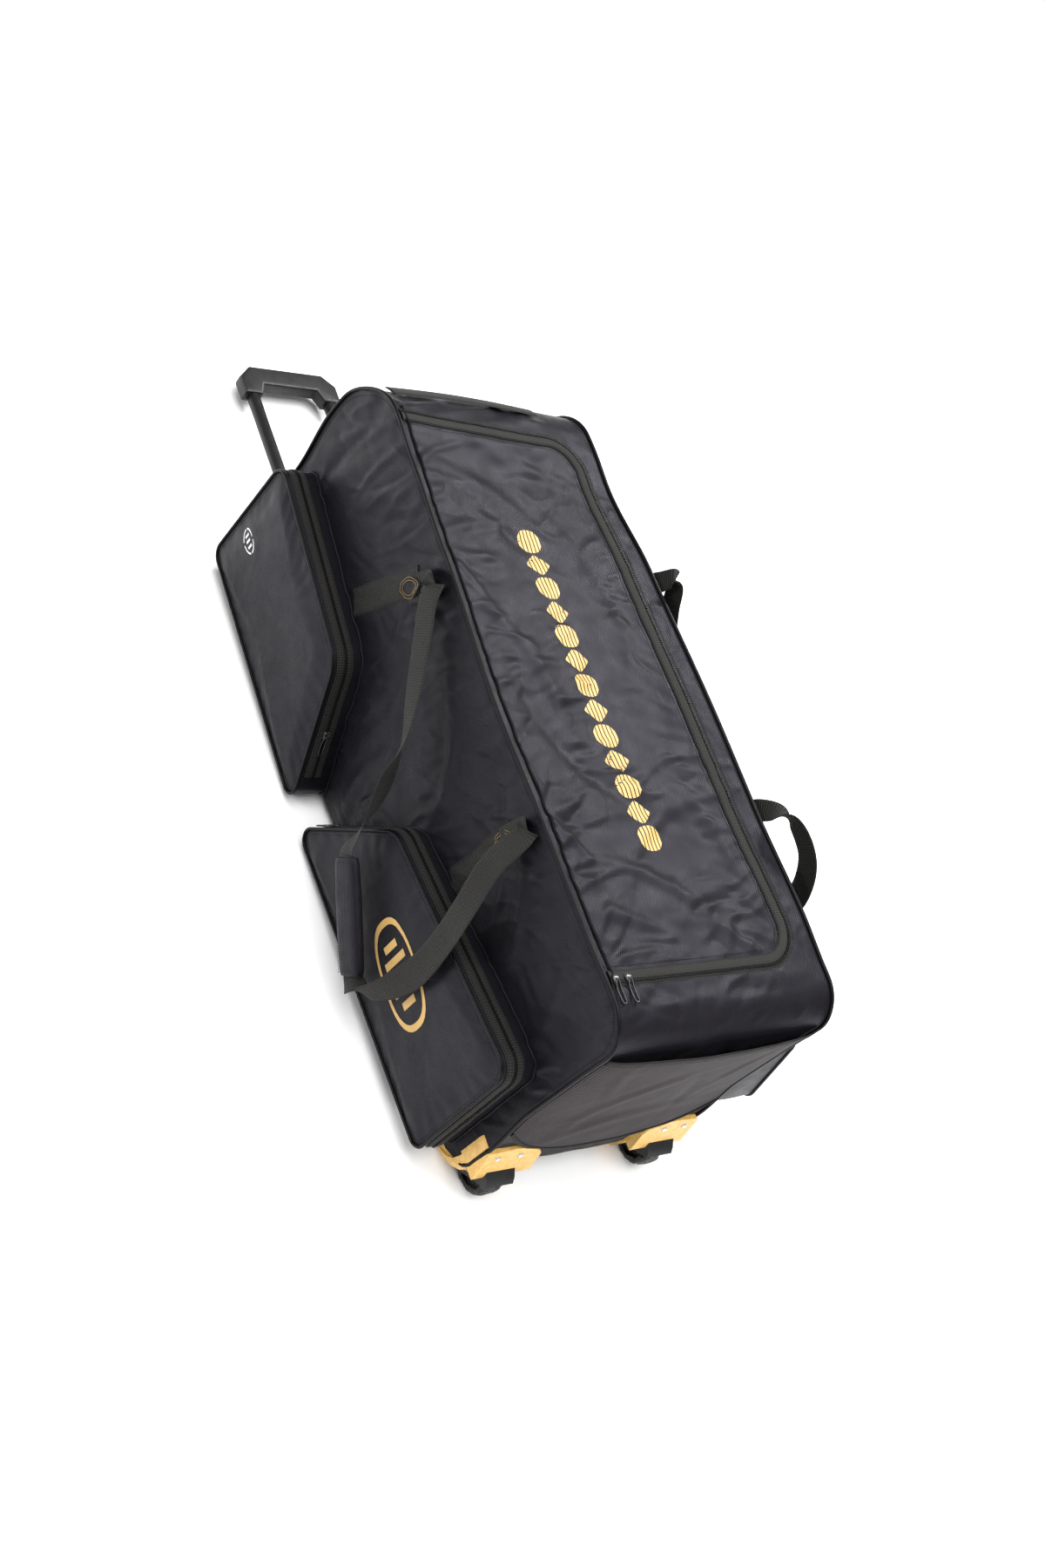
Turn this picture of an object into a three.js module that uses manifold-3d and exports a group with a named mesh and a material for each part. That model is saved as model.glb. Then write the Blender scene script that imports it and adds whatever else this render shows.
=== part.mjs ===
// Wheeled kit bag: a soft hollow body with a zipped lid, three side pockets, a mesh end pocket,
// webbing carry straps, two wheels under corner brackets and a pull-out trolley handle.
// Millimetres. +X points to the wheel end, -Y to the side with two pockets, +Z up.
import * as THREE from "three";
import { mergeVertices } from "three/addons/utils/BufferGeometryUtils.js";
import Module from "manifold-3d";

const wasm = await Module();
wasm.setup();

// Driving dimensions of the body
const bodyLength = 960;
const bodyWidth = 340;
const bodyHeight = 415;
const topHandleRadius = 70;
const topWheelRadius = 45;
const bottomWheelRadius = 55;
const bottomHandleRadius = 40;
const bottomEdgeRadius = 24; // along the two long edges of the base
const handleEndBulge = 6;
const wheelEndBulge = 3;
const sideBulge = 4;
const fabric = 2; // cloth wall
const gap = 0.3; // between neighbouring pieces
const pipingRadius = 2.5;
// Lid and its zip
const lidHandleMargin = 90; // from the handle end to the zip
const lidWheelMargin = 78; // from the wheel end to the zip
const lidFarMargin = 36; // from the far side to the zip
const lidCornerRadius = 50;
const zipWidth = 24;
const zipThickness = 1.2;
// Side pockets
const nearPocketDepth = 50;
const farPocketDepth = 60;
const farPocketSag = 28; // how much deeper the far pocket hangs at its bottom
const pocketBulge = 5;
const pocketPipingRadius = 2;
const pocketZipLift = 1;
const pocketRim = 46; // width of the band that curves up to a pocket's front
const pocketZipSeat = 1.8; // from a pocket's outline out to the underside of its zip
// Mesh pocket on the wheel end
const meshThickness = 1.2;
const meshBulge = 14;
const hemHeight = 9;
const hemThickness = 1.6;
// Webbing
const webbingWidth = 38;
const webbingThickness = 1.8;
const sleeveLength = 148;
const sleeveWidth = 46;
const sleeveThickness = 16;
const sleeveSlotWidth = 41;
const sleeveSlotThickness = 7;
const grabWidth = 25;
const grabRise = 6; // of the grab loop's middle over its seat
const grabAngle = 120; // of the grab loop round the upper corner, in degrees from +X
// Wheels, brackets and axles
const wheelRadius = 35;
const wheelWidth = 32;
const wheelFromSide = 37; // from a side panel in to its wheel's middle
const wheelSpread = bodyWidth - 2 * wheelFromSide;
const wheelInset = 0; // from the wheel end back to the axle
const wheelClearance = 3;
const wheelLugs = 10;
const wheelLugDepth = 1.2;
const housingWall = 3;
const axleRadius = 3;
const axleClearance = 0.4;
const bracketThickness = 3;
const bracketReach = 86; // from the side panel inwards across the end
const bracketTop = 116;
const bracketHoodDepth = 15;
const bracketHoodLow = 60;
const bracketLip = 13; // width of the lip on the side panel
const bracketLipTop = 62;
const rivetRadius = 4.2;
const rivetHeight = 1.6;
const rivetSpread = 35;
const rivetUp = 100; // of the rivets' middles above the floor
// Trolley handle
const tubeSpread = 137;
const tubeRadius = 10;
const tubeHeight = 30; // of the tubes' axes above the floor
const tubeLength = 412;
const handleReach = 278; // bare tube between the bag and the grip
const guideRadius = 13;
const guideLength = 420;
const guideClearance = 0.6;
const gripWidth = 172;
const gripBar = 34;
const gripSocketLength = 20;
const gripSocketWidth = 30;
const gripThickness = 24;
const gripBevel = 5;
const gripChamfer = 18;
const socketDepth = 18;
const bezelWidth = 182;
const bezelHeight = 42;
const bezelThickness = 4;
const guideRestLength = 30;
// Zip pulls
const pullLength = 32;
const pullWidth = 7;
const pullThickness = 1.6;
const sliderLength = 11;
const sliderHeight = 4;

const halfLength = bodyLength / 2;
const halfWidth = bodyWidth / 2;
const bodyTop = bodyHeight;
const halfHeight = bodyHeight / 2;
const webbingStandoff = gap + webbingThickness;

// Height of the top edge and of the lid's middle above the plain box, as shares of the body height,
// at shares of the half length from the handle end to the wheel end.
const topProfile = [
  { at: -1.0, near: 0.0, middle: 0.0, far: -0.012 },
  { at: -0.82, near: 0.043, middle: 0.012, far: -0.012 },
  { at: -0.65, near: 0.031, middle: -0.018, far: -0.024 },
  { at: -0.36, near: 0.017, middle: -0.03, far: 0.002 },
  { at: 0.1, near: -0.012, middle: -0.036, far: 0.012 },
  { at: 0.45, near: -0.002, middle: -0.03, far: 0.007 },
  { at: 0.72, near: -0.002, middle: -0.012, far: 0.015 },
  { at: 0.88, near: 0.007, middle: 0.004, far: 0.007 },
  { at: 1.0, near: 0.0, middle: 0.0, far: 0.0 },
];

// How far each end stands out of the plain box, as shares of the body height, from base to top.
const endProfile = [
  { at: 0, handle: 0, wheel: 0 },
  { at: 0.28, handle: 0, wheel: 0.008 },
  { at: 0.5, handle: 0.002, wheel: -0.01 },
  { at: 0.74, handle: 0.024, wheel: -0.008 },
  { at: 1, handle: 0, wheel: 0 },
];

// Soft dents in the top: middle and reach as shares of the half length and half width, depth as a
// share of the body height, and the way each runs, in degrees from +X.
const topDents = [
  { along: -0.55, across: -0.35, reach: 0.3, width: 0.16, depth: 0.012, turn: 60 },
  { along: -0.12, across: 0.3, reach: 0.34, width: 0.18, depth: 0.014, turn: 25 },
  { along: 0.3, across: -0.3, reach: 0.34, width: 0.18, depth: -0.012, turn: 118 },
  { along: 0.52, across: 0.2, reach: 0.3, width: 0.16, depth: 0.014, turn: 65 },
  { along: 0.72, across: -0.2, reach: 0.24, width: 0.14, depth: -0.01, turn: 80 },
];

// Corners of the pockets: along as a share of the half length, up as a share of the body height
// above the floor, radius as a share of the body height.
const handlePocketCorners = [
  { along: -0.979, up: 0.06, radius: 0.043 },
  { along: -0.129, up: 0.022, radius: 0.039 },
  { along: -0.3375, up: 0.494, radius: 0.108 },
  { along: -0.954, up: 0.573, radius: 0.053 },
];
const wheelPocketCorners = [
  { along: -0.05, up: 0.022, radius: 0.039 },
  { along: 0.929, up: 0.085, radius: 0.043 },
  { along: 0.923, up: 0.622, radius: 0.06 },
  { along: 0.192, up: 0.499, radius: 0.084 },
];
const farPocketCorners = [
  { along: -0.9, up: 0.32, radius: 0.07 },
  { along: 1.0, up: 0.27, radius: 0.08 },
  { along: 0.975, up: 0.735, radius: 0.06 },
  { along: -0.9, up: 0.735, radius: 0.06 },
];

// Route of the near carry strap from one anchor over its fold, down to the grip and up to the other
// anchor: along as a share of the half length, out as millimetres from the side panel, up as a share
// of the body height, and the ribbon's width direction as its lean in the panel and its turn outwards.
const nearStrapRoute = [
  { along: -0.3812, out: 3.6, up: 0.8145, lean: -25, turn: 0 },
  { along: -0.35, out: 3.6, up: 0.8867, lean: -25, turn: 0 },
  { along: -0.325, out: 9, up: 0.9422, lean: -14, turn: 0 },
  { along: -0.3083, out: 14, up: 0.959, lean: 10, turn: 0 },
  { along: -0.2812, out: 18, up: 0.9229, lean: 42, turn: 0 },
  { along: -0.1979, out: 24, up: 0.8506, lean: 52, turn: 0 },
  { along: -0.0896, out: 33, up: 0.759, lean: 54, turn: 5 },
  { along: 0.0104, out: 43, up: 0.6675, lean: 52, turn: 28 },
  { along: 0.0563, out: 50, up: 0.5831, lean: 44, turn: 66 },
  { along: 0.1062, out: 59, up: 0.4964, lean: 42, turn: 66 },
  { along: 0.15, out: 70, up: 0.3976, lean: 50, turn: 30 },
  { along: 0.1792, out: 78, up: 0.3325, lean: 61, turn: 0 },
  { along: 0.3187, out: 78, up: 0.2422, lean: 61, turn: 0 },
  { along: 0.4604, out: 78, up: 0.1506, lean: 61, turn: 0 },
  { along: 0.5083, out: 81, up: 0.1735, lean: 40, turn: -28 },
  { along: 0.5437, out: 78, up: 0.2602, lean: 12, turn: -40 },
  { along: 0.5646, out: 70, up: 0.3952, lean: -4, turn: -14 },
  { along: 0.5625, out: 66, up: 0.4819, lean: 2, turn: 0 },
  { along: 0.5417, out: 60, up: 0.5904, lean: 10, turn: 0 },
  { along: 0.5146, out: 58, up: 0.7108, lean: 20, turn: 0 },
  { along: 0.4458, out: 34, up: 0.8337, lean: 24, turn: 0 },
  { along: 0.425, out: 15, up: 0.9398, lean: 14, turn: 0 },
  { along: 0.4125, out: 9, up: 0.9494, lean: 6, turn: 0 },
  { along: 0.4, out: 3.6, up: 0.8916, lean: -4, turn: 0 },
  { along: 0.3875, out: 3.6, up: 0.8193, lean: -6, turn: 0 },
];
const farStrapRoute = [
  { along: -0.3896, out: 3.6, up: 0.7904, lean: 4, turn: 0 },
  { along: -0.3646, out: 4.5, up: 0.8819, lean: 2, turn: 0 },
  { along: -0.3354, out: 13, up: 0.9928, lean: 0, turn: 0 },
  { along: -0.3125, out: 21, up: 1.0506, lean: 10, turn: 0 },
  { along: -0.2792, out: 32, up: 0.9639, lean: 28, turn: 0 },
  { along: -0.2208, out: 46, up: 0.8434, lean: 40, turn: 0 },
  { along: -0.1396, out: 62, up: 0.7108, lean: 48, turn: 0 },
  { along: -0.0542, out: 78, up: 0.559, lean: 58, turn: 0 },
  { along: -0.0083, out: 86, up: 0.4578, lean: 90, turn: 0 },
  { along: 0.1646, out: 86, up: 0.4578, lean: 90, turn: 0 },
  { along: 0.3417, out: 86, up: 0.4578, lean: 90, turn: 0 },
  { along: 0.4292, out: 80, up: 0.5446, lean: 116, turn: 0 },
  { along: 0.55, out: 70, up: 0.6699, lean: 132, turn: 0 },
  { along: 0.6208, out: 62, up: 0.8, lean: 150, turn: 0 },
  { along: 0.6292, out: 50, up: 0.9398, lean: 172, turn: 0 },
  { along: 0.5708, out: 38, up: 1.0506, lean: 205, turn: 0 },
  { along: 0.475, out: 25, up: 1.0747, lean: 222, turn: 0 },
  { along: 0.4104, out: 13, up: 1.0024, lean: 200, turn: 0 },
  { along: 0.3875, out: 4.5, up: 0.8819, lean: 184, turn: 0 },
  { along: 0.3812, out: 3.6, up: 0.7904, lean: 180, turn: 0 },
];
const nearGripRows = [11, 13]; // rows of the near route between which the grip sleeve sits
const farGripRows = [8, 10];

// General shape helpers

function smooth(t) {
  const c = Math.min(1, Math.max(0, t));
  return c * c * (3 - 2 * c);
}

// Value of a table's column at a place along it, eased between its rows.
function columnAt(rows, key, at) {
  let i = 0;
  while (i < rows.length - 2 && rows[i + 1].at < at) i += 1;
  const low = rows[i];
  const high = rows[i + 1];
  const t = smooth((at - low.at) / (high.at - low.at));
  return low[key] + (high[key] - low[key]) * t;
}

function toSolid(geometry) {
  const bare = geometry.clone();
  bare.deleteAttribute("normal");
  bare.deleteAttribute("uv");
  const merged = mergeVertices(bare, 1e-4);
  const triVerts = new Uint32Array(merged.index.array);
  const vertProperties = new Float32Array(merged.attributes.position.array);
  const solid = new wasm.Manifold(new wasm.Mesh({ numProp: 3, vertProperties, triVerts }));
  if (solid.volume() > 0) return solid;
  for (let i = 0; i < triVerts.length; i += 3) {
    [triVerts[i + 1], triVerts[i + 2]] = [triVerts[i + 2], triVerts[i + 1]];
  }
  return new wasm.Manifold(new wasm.Mesh({ numProp: 3, vertProperties, triVerts }));
}

function toGeometry(solid) {
  const mesh = solid.getMesh();
  const geometry = new THREE.BufferGeometry();
  geometry.setAttribute("position", new THREE.BufferAttribute(mesh.vertProperties, 3));
  geometry.setIndex(new THREE.BufferAttribute(mesh.triVerts, 1));
  geometry.computeVertexNormals();
  return geometry;
}

// Closed solid through rings of equal count, each end closed by a fan about its middle.
function loft(rings) {
  const count = rings[0].length;
  const positions = rings.flat().flatMap((p) => [p.x, p.y, p.z]);
  const index = [];
  for (let r = 0; r < rings.length - 1; r += 1) {
    for (let i = 0; i < count; i += 1) {
      const a = r * count + i;
      const b = r * count + ((i + 1) % count);
      index.push(a, b, b + count, a, b + count, a + count);
    }
  }
  for (const [ring, first, flip] of [
    [rings[0], 0, true],
    [rings.at(-1), (rings.length - 1) * count, false],
  ]) {
    const middle = new THREE.Vector3();
    ring.forEach((p) => middle.addScaledVector(p, 1 / count));
    const centre = positions.length / 3;
    positions.push(middle.x, middle.y, middle.z);
    for (let i = 0; i < count; i += 1) {
      const a = first + i;
      const b = first + ((i + 1) % count);
      index.push(...(flip ? [b, a, centre] : [a, b, centre]));
    }
  }
  const geometry = new THREE.BufferGeometry();
  geometry.setAttribute("position", new THREE.Float32BufferAttribute(positions, 3));
  geometry.setIndex(index);
  return toSolid(geometry);
}

// Loop of { x, z } with rounded corners; each straight run is cut into its corner's runSteps.
function roundedLoop(corners, arcSteps) {
  const loop = [];
  const joints = corners.map((corner, i) => {
    const before = corners[(i + corners.length - 1) % corners.length];
    const after = corners[(i + 1) % corners.length];
    const here = new THREE.Vector2(corner.x, corner.z);
    const back = new THREE.Vector2(before.x, before.z).sub(here).normalize();
    const ahead = new THREE.Vector2(after.x, after.z).sub(here).normalize();
    const half = back.angleTo(ahead) / 2;
    const reach = corner.r / Math.tan(half);
    const centre = here.clone().add(back.clone().add(ahead).setLength(corner.r / Math.sin(half)));
    const start = here.clone().addScaledVector(back, reach);
    const end = here.clone().addScaledVector(ahead, reach);
    return { centre, start, end, sweep: Math.PI - 2 * half };
  });
  joints.forEach((joint, i) => {
    const steps = corners[i].arcSteps ?? arcSteps;
    const spoke = joint.start.clone().sub(joint.centre);
    for (let s = 0; s <= steps; s += 1) {
      const p = spoke.clone().rotateAround(new THREE.Vector2(), (joint.sweep * s) / steps);
      loop.push({ x: joint.centre.x + p.x, z: joint.centre.y + p.y });
    }
    const next = joints[(i + 1) % joints.length];
    const runs = corners[i].runSteps ?? 1;
    for (let s = 1; s < runs; s += 1) {
      const p = joint.end.clone().lerp(next.start, s / runs);
      loop.push({ x: p.x, z: p.y });
    }
  });
  return loop;
}

// Prism along Y from a loop of { x, z }.
function prismAlongY(loop, lowY, highY) {
  const shape = new THREE.Shape(loop.map((p) => new THREE.Vector2(p.x, p.z)));
  const geometry = new THREE.ExtrudeGeometry(shape, { depth: highY - lowY, bevelEnabled: false });
  geometry.rotateX(Math.PI / 2);
  geometry.translate(0, highY, 0);
  return toSolid(geometry);
}

// Prism along Z from a loop of { x, z } read as x and y.
function prismAlongZ(loop, lowZ, highZ) {
  const shape = new THREE.Shape(loop.map((p) => new THREE.Vector2(p.x, p.z)));
  const geometry = new THREE.ExtrudeGeometry(shape, { depth: highZ - lowZ, bevelEnabled: false });
  geometry.translate(0, 0, lowZ);
  return toSolid(geometry);
}

// Prism along X from a loop of { x, z } read as y and z.
function prismAlongX(loop, lowX, highX) {
  const shape = new THREE.Shape(loop.map((p) => new THREE.Vector2(p.x, p.z)));
  const geometry = new THREE.ExtrudeGeometry(shape, { depth: highX - lowX, bevelEnabled: false });
  geometry.rotateX(Math.PI / 2);
  geometry.rotateZ(Math.PI / 2);
  geometry.translate(lowX, 0, 0);
  return toSolid(geometry);
}

function boxBetween(low, high) {
  const size = high.map((v, i) => v - low[i]);
  const geometry = new THREE.BoxGeometry(...size);
  geometry.translate(...low.map((v, i) => v + size[i] / 2));
  return toSolid(geometry);
}

function cylinderAlongY(radius, length, x, y, z, sides) {
  const geometry = new THREE.CylinderGeometry(radius, radius, length, sides);
  geometry.translate(0, y, 0);
  geometry.rotateY(Math.PI / sides);
  geometry.translate(x, 0, z);
  return toSolid(geometry);
}

function cylinderAlongX(radius, lowX, highX, y, z, sides) {
  const geometry = new THREE.CylinderGeometry(radius, radius, highX - lowX, sides);
  geometry.rotateY(Math.PI / sides);
  geometry.rotateZ(Math.PI / 2);
  geometry.translate((lowX + highX) / 2, y, z);
  return toSolid(geometry);
}

// Cord of round section along a path that lies in a plane square to Y.
function cordInPanel(path, radius, sides) {
  const across = new THREE.Vector3(0, 1, 0);
  const rings = path.map((p, i) => {
    const tangent = path[Math.min(i + 1, path.length - 1)].clone();
    tangent.sub(path[Math.max(i - 1, 0)]).normalize();
    const outward = tangent.clone().cross(across).normalize();
    return Array.from({ length: sides }, (_, s) => {
      const angle = ((s + 0.5) * 2 * Math.PI) / sides;
      return p
        .clone()
        .addScaledVector(outward, radius * Math.cos(angle))
        .addScaledVector(across, radius * Math.sin(angle));
    });
  });
  return loft(rings);
}

// Flat webbing through stations of { middle, across }, as wide and thick as given.
function ribbon(stations, width, thickness) {
  const rings = stations.map((station, i) => {
    const tangent = stations[Math.min(i + 1, stations.length - 1)].middle.clone();
    tangent.sub(stations[Math.max(i - 1, 0)].middle).normalize();
    const across = station.across.clone().addScaledVector(tangent, -station.across.dot(tangent));
    across.normalize();
    const out = tangent.clone().cross(across).normalize();
    return [
      [-1, -1],
      [1, -1],
      [1, 1],
      [-1, 1],
    ].map(([w, t]) =>
      station.middle
        .clone()
        .addScaledVector(across, (w * width) / 2)
        .addScaledVector(out, (t * thickness) / 2),
    );
  });
  return loft(rings);
}

// Closed sheet from a front and a back grid of points.
function sheet(columns, rows, pointAt) {
  const positions = [];
  const index = [];
  const layer = (columns + 1) * (rows + 1);
  for (const side of [0, 1]) {
    for (let r = 0; r <= rows; r += 1) {
      for (let c = 0; c <= columns; c += 1) {
        const p = pointAt(c / columns, r / rows, side);
        positions.push(p.x, p.y, p.z);
      }
    }
  }
  const at = (c, r, side) => side * layer + r * (columns + 1) + c;
  for (let r = 0; r < rows; r += 1) {
    for (let c = 0; c < columns; c += 1) {
      const corners = [at(c, r, 0), at(c + 1, r, 0), at(c + 1, r + 1, 0), at(c, r + 1, 0)];
      const [p, q, s, t] = corners;
      index.push(p, q, s, p, s, t);
      index.push(p + layer, s + layer, q + layer, p + layer, t + layer, s + layer);
    }
  }
  const wall = (a, b) => index.push(b, a, a + layer, b, a + layer, b + layer);
  for (let c = 0; c < columns; c += 1) {
    wall(at(c, 0, 0), at(c + 1, 0, 0));
    wall(at(c + 1, rows, 0), at(c, rows, 0));
  }
  for (let r = 0; r < rows; r += 1) {
    wall(at(columns, r, 0), at(columns, r + 1, 0));
    wall(at(0, r + 1, 0), at(0, r, 0));
  }
  const geometry = new THREE.BufferGeometry();
  geometry.setAttribute("position", new THREE.Float32BufferAttribute(positions, 3));
  geometry.setIndex(index);
  return toSolid(geometry);
}

// Body

// How far the surface of an end stands out at a share of the body height.
function endOut(sign, share) {
  return columnAt(endProfile, sign > 0 ? "wheel" : "handle", share) * bodyHeight;
}

function dentDepth(x, y) {
  let depth = 0;
  for (const dent of topDents) {
    const dx = x / halfLength - dent.along;
    const dy = (y / halfWidth - dent.across) * (halfWidth / halfLength);
    const turn = THREE.MathUtils.degToRad(dent.turn);
    const run = dx * Math.cos(turn) + dy * Math.sin(turn);
    const off = dy * Math.cos(turn) - dx * Math.sin(turn);
    const fade = Math.exp(-((run / dent.reach) ** 2) - (off / (dent.width / 2)) ** 2);
    depth += dent.depth * bodyHeight * fade;
  }
  return depth;
}

// Rise of the top over the plain box at x, y.
function topRise(x, y) {
  const at = x / halfLength;
  const u = Math.min(1, Math.abs(y) / halfWidth) * Math.sign(y);
  const near = columnAt(topProfile, "near", at);
  const far = columnAt(topProfile, "far", at);
  const edge = near + ((far - near) * (u + 1)) / 2;
  const sag = columnAt(topProfile, "middle", at) - (near + far) / 2;
  const inner = (1 - u * u) * smooth((1 - Math.abs(at)) * 6);
  return (edge + sag * (1 - u * u)) * bodyHeight - dentDepth(x, y) * inner;
}

// Side outline of the body as heights above its own base, in from the surface by inset.
function sideOutline(inset) {
  const x = halfLength - inset;
  const low = inset;
  const high = bodyHeight - inset;
  return roundedLoop(
    [
      { x: -x, z: low, r: bottomHandleRadius - inset, arcSteps: 2, runSteps: 4 },
      { x, z: low, r: bottomWheelRadius - inset, arcSteps: 4, runSteps: 3 },
      { x, z: high, r: topWheelRadius - inset, arcSteps: 3, runSteps: 12 },
      { x: -x, z: high, r: topHandleRadius - inset, arcSteps: 4, runSteps: 3 },
    ],
    4,
  );
}

// One point of the body: x and height of the plain outline, y across, lift on the long base edges.
function bodyPoint(x, height, y, inset) {
  const across = Math.abs(y) / (halfWidth - inset);
  const radius = bottomEdgeRadius - inset;
  const past = Math.max(0, Math.abs(y) - (halfWidth - inset - radius));
  const lift = radius - Math.sqrt(Math.max(0, radius * radius - past * past));
  const share = height / bodyHeight;
  const bulge = x > 0 ? wheelEndBulge : handleEndBulge;
  const nearEnd = smooth((Math.abs(x) - halfLength * 0.88) / (halfLength * 0.12));
  const out = bulge * Math.max(0, 1 - across * across) + endOut(Math.sign(x), share);
  const rise = topRise(x, y) * smooth((share - 0.55) / 0.45);
  return new THREE.Vector3(
    x + Math.sign(x) * out * nearEnd,
    y,
    height + rise + lift * (1 - smooth(share / 0.25)),
  );
}

function bodyBlock(inset, stations) {
  const outline = sideOutline(inset);
  const reach = halfWidth - inset;
  const ringAt = (y, shrink, bulge) =>
    outline.map((p) => {
      const middle = halfHeight + (p.z - halfHeight) * shrink;
      const point = bodyPoint(p.x * shrink, middle, Math.sign(y) * reach, inset);
      const flat = bodyPoint(p.x, p.z, y, inset);
      return shrink < 1 ? point.setY(y + Math.sign(y) * bulge) : flat;
    });
  const panel = (side) =>
    [0.9, 0.62, 0.3].map((shrink) => ringAt(side * reach, shrink, sideBulge * (1 - shrink ** 2)));
  const between = stations.map((s) => ringAt(s * reach, 1, 0));
  return loft([...panel(-1).reverse(), ...between, ...panel(1)]);
}

const outerStations = [-1, -0.97, -0.86, -0.5, -0.17, 0.17, 0.5, 0.86, 0.97, 1];
const innerStations = [-1, -0.96, -0.86, -0.3, 0.3, 0.86, 0.96, 1];
const outerBlock = bodyBlock(0, outerStations);
const innerBlock = bodyBlock(fabric, innerStations);

// The skin of the body moved out along a direction, between two distances, inside a region.
function layerOver(direction, low, high, region) {
  const at = (d) => outerBlock.translate(direction.map((v) => v * d));
  return region.intersect(at(high)).subtract(at(low)).subtract(outerBlock);
}

// Loop of the lid in plan, grown or shrunk by an offset.
function lidLoop(offset) {
  const nearEdge = -(halfWidth - fabric - gap) - Math.min(0, offset);
  const handleEdge = -(halfLength - lidHandleMargin + offset);
  const wheelEdge = halfLength - lidWheelMargin + offset;
  const farEdge = halfWidth - lidFarMargin + offset;
  const corner = lidCornerRadius + offset;
  return roundedLoop(
    [
      { x: handleEdge, z: nearEdge, r: 2, arcSteps: 1 },
      { x: wheelEdge, z: nearEdge, r: 2, arcSteps: 1 },
      { x: wheelEdge, z: farEdge, r: corner },
      { x: handleEdge, z: farEdge, r: corner },
    ],
    4,
  );
}

const aboveBag = bodyTop * 1.3;
const underRim = bodyTop * 0.8;

// Wheels sit at the lower corners of the wheel end.
const axle = { x: halfLength - wheelInset, z: wheelRadius };
const wheelSides = [
  { name: "near", y: -wheelSpread / 2, sign: -1 },
  { name: "far", y: wheelSpread / 2, sign: 1 },
];
const wellRadius = wheelRadius + wheelClearance;
const wellWidth = wheelWidth + 2 * wheelClearance;
const housingRadius = wellRadius + housingWall;
const housingWidth = wellWidth + 2 * housingWall;

function lidSolid() {
  const thick = outerBlock.subtract(outerBlock.translate([0, 0, -fabric]));
  return thick.intersect(prismAlongZ(lidLoop(-gap), underRim, aboveBag));
}

function bodyShell() {
  let shell = outerBlock.subtract(innerBlock);
  shell = shell.subtract(prismAlongZ(lidLoop(0), underRim, aboveBag));
  for (const side of wheelSides) {
    const radius = housingRadius + gap;
    const cut = cylinderAlongY(radius, housingWidth + 2 * gap, axle.x, side.y, axle.z, 20);
    shell = shell.subtract(cut);
  }
  for (const sign of [-1, 1]) {
    const far = -halfLength - 2 * handleEndBulge;
    const holeEnd = -halfLength + bottomHandleRadius;
    const y = (sign * tubeSpread) / 2;
    const hole = cylinderAlongX(guideRadius + gap, far, holeEnd, y, tubeHeight, 16);
    shell = shell.subtract(hole);
  }
  return shell;
}

function lidZip() {
  const outerLoop = lidLoop(zipWidth / 2);
  const innerLoop = lidLoop(-zipWidth / 2);
  const ring = prismAlongZ(outerLoop, underRim, aboveBag).subtract(
    prismAlongZ(innerLoop, underRim - 1, aboveBag + 1),
  );
  const nearStop = -(halfWidth - zipWidth / 2);
  const stop = boxBetween([-bodyLength, nearStop, 0], [bodyLength, bodyWidth, aboveBag * 1.1]);
  const band = ring.intersect(stop);
  return layerOver([0, 0, 1], gap, gap + zipThickness, band);
}

// Piping round each side panel, from one lower corner over the top to the other.
function bodyPiping(sign) {
  const stand = (pipingRadius + gap) * Math.SQRT1_2 + 0.05;
  const outline = sideOutline(0).filter((p) => p.z > bottomWheelRadius * 0.45);
  const first = outline.findIndex((p, i) => i > 0 && p.x < 0 && outline[i - 1].x > 0 && p.z < halfHeight);
  const ordered = first > 0 ? [...outline.slice(first), ...outline.slice(0, first)] : outline;
  const start = ordered.findIndex((p) => p.x > 0 && p.z < halfHeight);
  const open = [...ordered.slice(start), ...ordered.slice(0, start)];
  const middle = new THREE.Vector2(0, halfHeight);
  const path = open.map((p, i) => {
    const before = open[Math.max(i - 1, 0)];
    const after = open[Math.min(i + 1, open.length - 1)];
    const run = new THREE.Vector2(after.x - before.x, after.z - before.z).normalize();
    const out = new THREE.Vector2(run.y, -run.x);
    if (out.dot(new THREE.Vector2(p.x, p.z).sub(middle)) < 0) out.negate();
    const point = bodyPoint(p.x, p.z, sign * halfWidth, 0);
    return point.add(new THREE.Vector3(out.x * stand, sign * stand, out.y * stand));
  });
  return cordInPanel(path, pipingRadius, 6);
}

// Pockets

function scaledCorners(corners) {
  return corners.map((c) => ({
    x: c.along * halfLength,
    z: c.up * bodyHeight,
    r: c.radius * bodyHeight,
    runSteps: 3,
  }));
}

function insetLoop(loop, inset) {
  const middle = { x: 0, z: 0 };
  loop.forEach((p) => {
    middle.x += p.x / loop.length;
    middle.z += p.z / loop.length;
  });
  return loop.map((p) => {
    const reach = Math.hypot(p.x - middle.x, p.z - middle.z);
    const keep = 1 - inset / reach;
    return { x: middle.x + (p.x - middle.x) * keep, z: middle.z + (p.z - middle.z) * keep };
  });
}

const pocketRoot = 14; // how far a pocket's blank starts inside the side panel before it is trimmed

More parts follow.
